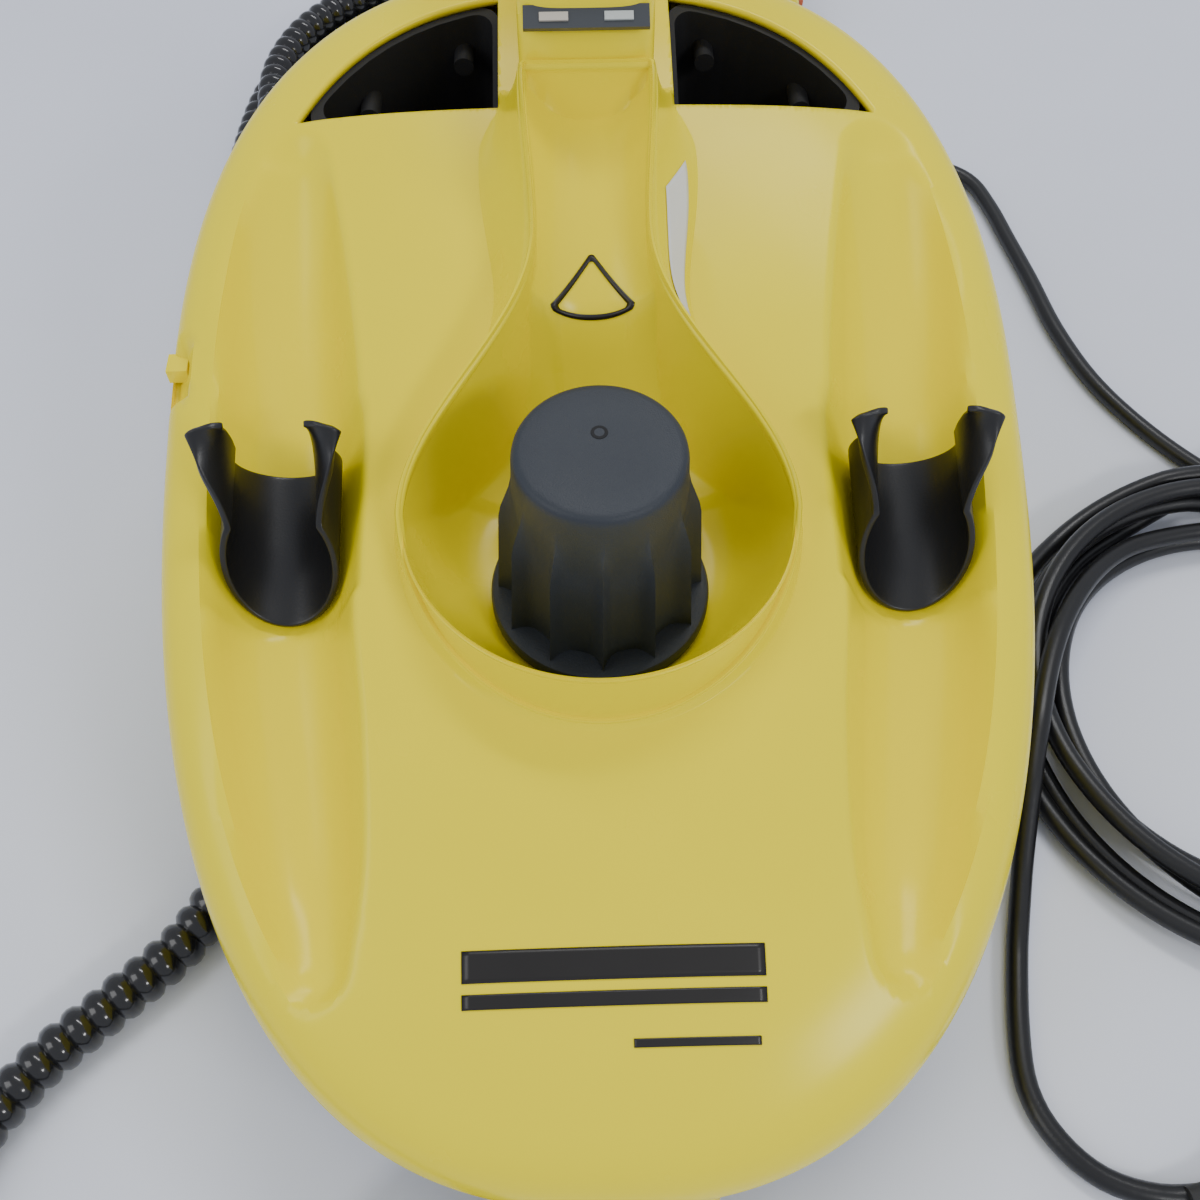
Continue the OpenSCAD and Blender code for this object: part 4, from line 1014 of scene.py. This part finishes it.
# Each row holds the place along the plug, half the width, half the thickness and the height.
PLUG_ROWS = [
    (-14, 3.9, 3.9, 6.2), (-8, 4.3, 4.2, 6.4), (-1, 5.2, 4.8, 6.7), (5, 6.2, 5.6, 7.0), (6.5, 9.0, 6.2, 7.0),
    (9, 11.2, 6.6, 7.0), (10.5, 11.6, 6.8, 7.0),
]
for k in range(6):
    start = 12 + k * 2.9
    PLUG_ROWS += [(start, 11.9, 6.9, 7.0), (start + 0.7, 10.9, 6.1, 7.0)]
    PLUG_ROWS += [(start + 1.9, 10.9, 6.1, 7.0), (start + 2.4, 11.9, 6.9, 7.0)]
PLUG_ROWS += [(31, 11.9, 6.9, 7.0), (33.2, 11.7, 6.8, 7.0), (34, 10.8, 6.0, 7.0)]
plug_loops = []
for along, half_w, half_t, z in PLUG_ROWS:
    loop = []
    for k in range(40):
        x, lift = rounded(2 * math.pi * k / 40, half_w, half_t, 2.2 + 2.4 * ease(0, 9, along))
        at = Vector((along, x, 0))
        at.rotate(Matrix.Rotation(PLUG_TURN, 3, "Z"))
        loop.append(PLUG_AT + at + Vector((0, 0, z + lift)))
    plug_loops.append(loop)
plug_bm = grow_skin(plug_loops)
close_ends(plug_bm, 60)
finish_piece("plug", plug_bm, soft_black, nodes=("plug_body",))

# %% [markdown]
# ## The steam gun
# The gun is a pair of moulded half shells, yellow above and black below, split along their middle.
# The barrel and the grip are each grown from loops, cut along the split by a plane, and given a
# wall, so that the slots for the trigger and the lock open into a hollow shell.

# %% Gun shells
SPLIT_Z, BARREL_X, GRIP_Y = 18.0, 98.0, 416.0
BARREL = [
    (390, 0.5), (390.2, 11), (391, 14), (393.5, 16.4), (398, 17.7), (410, 18), (440, 18), (468, 17.6),
    (486, 16.4), (500, 15.4), (528, 14.6), (550, 14.2), (556, 13.4), (559, 11.8), (560, 10.5), (560, 9.2),
]
GRIP = [(6, 8.6), (6.6, 10), (9, 11.6), (14, 12.4), (40, 13), (58, 11.8), (74, 12.6), (88, 13)]
# The first two boxes are the trigger's slot and the last is the lock's.
SLOTS = [
    ((76, 426, 14.5), (93, 462, 21.5)), ((66, 421, 14.5), (92, 430, 21.5)), ((110, 400, 14.5), (120, 414, 21.5)),
]
GUN_AROUND = 56


def gun_rows(profile, spacing):
    """The profile's own rows, with more between them where they are far apart."""
    rows = [profile[0]]
    for (a, ra), (b, rb) in zip(profile, profile[1:]):
        cuts = max(1, round((b - a) / spacing))
        for k in range(1, cuts + 1):
            along = mix(a, b, k / cuts)
            rows.append((along, rb if cuts == 1 else table(profile, along)))
    return rows


def gun_half(name, keep, material, node):
    halves = []
    for profile, place, spacing in (
        (BARREL, lambda along, u, v: Vector((BARREL_X + u, along, SPLIT_Z + v)), 2.5),
        (GRIP, lambda along, u, v: Vector((along, GRIP_Y + u, SPLIT_Z + v)), 3),
    ):
        loops = []
        for along, radius in gun_rows(profile, spacing):
            radius *= 1 - 0.025 * (profile is GRIP) * (1 + math.cos(along * 2 * math.pi / 19)) / 2
            angles = [2 * math.pi * k / GUN_AROUND for k in range(GUN_AROUND)]
            loops.append([place(along, radius * math.cos(a), radius * math.sin(a)) for a in angles])
        half = grow_skin(loops)
        cut(half, half.faces[:], (0, 0, SPLIT_Z), (0, 0, keep), dist=0.01, clear_inner=True)
        inside = []
        for f in half.faces:
            c = f.calc_center_median()
            if any(all(low[k] < c[k] < high[k] for k in range(3)) for low, high in SLOTS):
                inside.append(f)
        bmesh.ops.delete(half, geom=inside, context="FACES")
        bmesh.ops.recalc_face_normals(half, faces=half.faces)
        if sum(f.normal.z * f.calc_area() for f in half.faces) * keep < 0:
            bmesh.ops.reverse_faces(half, faces=half.faces)
        part = bpy.data.meshes.new(name)
        half.to_mesh(part)
        half.free()
        halves.append(part)
    both = bmesh.new()
    for part in halves:
        both.from_mesh(part)
        bpy.data.meshes.remove(part)
    return finish_piece(name, both, material, nodes=(node,), wall=1.8, facing=Vector((0, 0, keep)))


gun_half("gun_top", 1, yellow, "gun_shell_upper")
gun_half("gun_bottom", -1, satin_black, "gun_shell_lower")

# %% [markdown]
# ## The other parts
# Every other part keeps its designed shape and takes a finish by name. The finish goes into the
# material slots of the part's own object, and nothing else about the object is touched.

# %% Finishes of the designed parts
NODE_FINISH = {
    yellow: ("side_hook",),
    dark_grey: ("base_tray", "caster_fork"),
    matt_black: ("storage_tray_left", "storage_tray_right", "terminal_block"),
    window_grey: ("lamp_window",),
    lamp_amber: ("lamp_heating",),
    lamp_pale: ("lamp_ready",),
    green_board: ("lamp_board",),
    satin_black: ("gun_trigger", "gun_nozzle", "wheel_left", "wheel_right"),
    soft_black: ("hose_gland", "hose_sleeve", "cord_grip", "boiler_gasket", "cap_seal", "caster_wheel"),
    brass: ("filler_neck", "cap_plug", "plug_blades"),
    copper: ("steam_pipe",),
    steel: (
        "housing_screws", "boiler_screws", "rear_axle", "caster_axle", "gun_trigger_pin", "cap_spring",
        "heating_element",
    ),
    cast_alloy: ("boiler_lower", "boiler_upper"),
    felt: ("boiler_jacket",),
    cream: ("control_thermostat", "safety_cutout"),
    red_wire: ("inner_wires",),
    orange: ("gun_lock",),
}
finished = set()
for material, names in NODE_FINISH.items():
    for name in names:
        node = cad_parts[name]
        if not node.material_slots:
            node.data.materials.append(material)
        for place in node.material_slots:
            place.link = "OBJECT"
            place.material = material
        finished.add(name)
print(len(finished), "parts finished:", sorted(set(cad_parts) - finished))
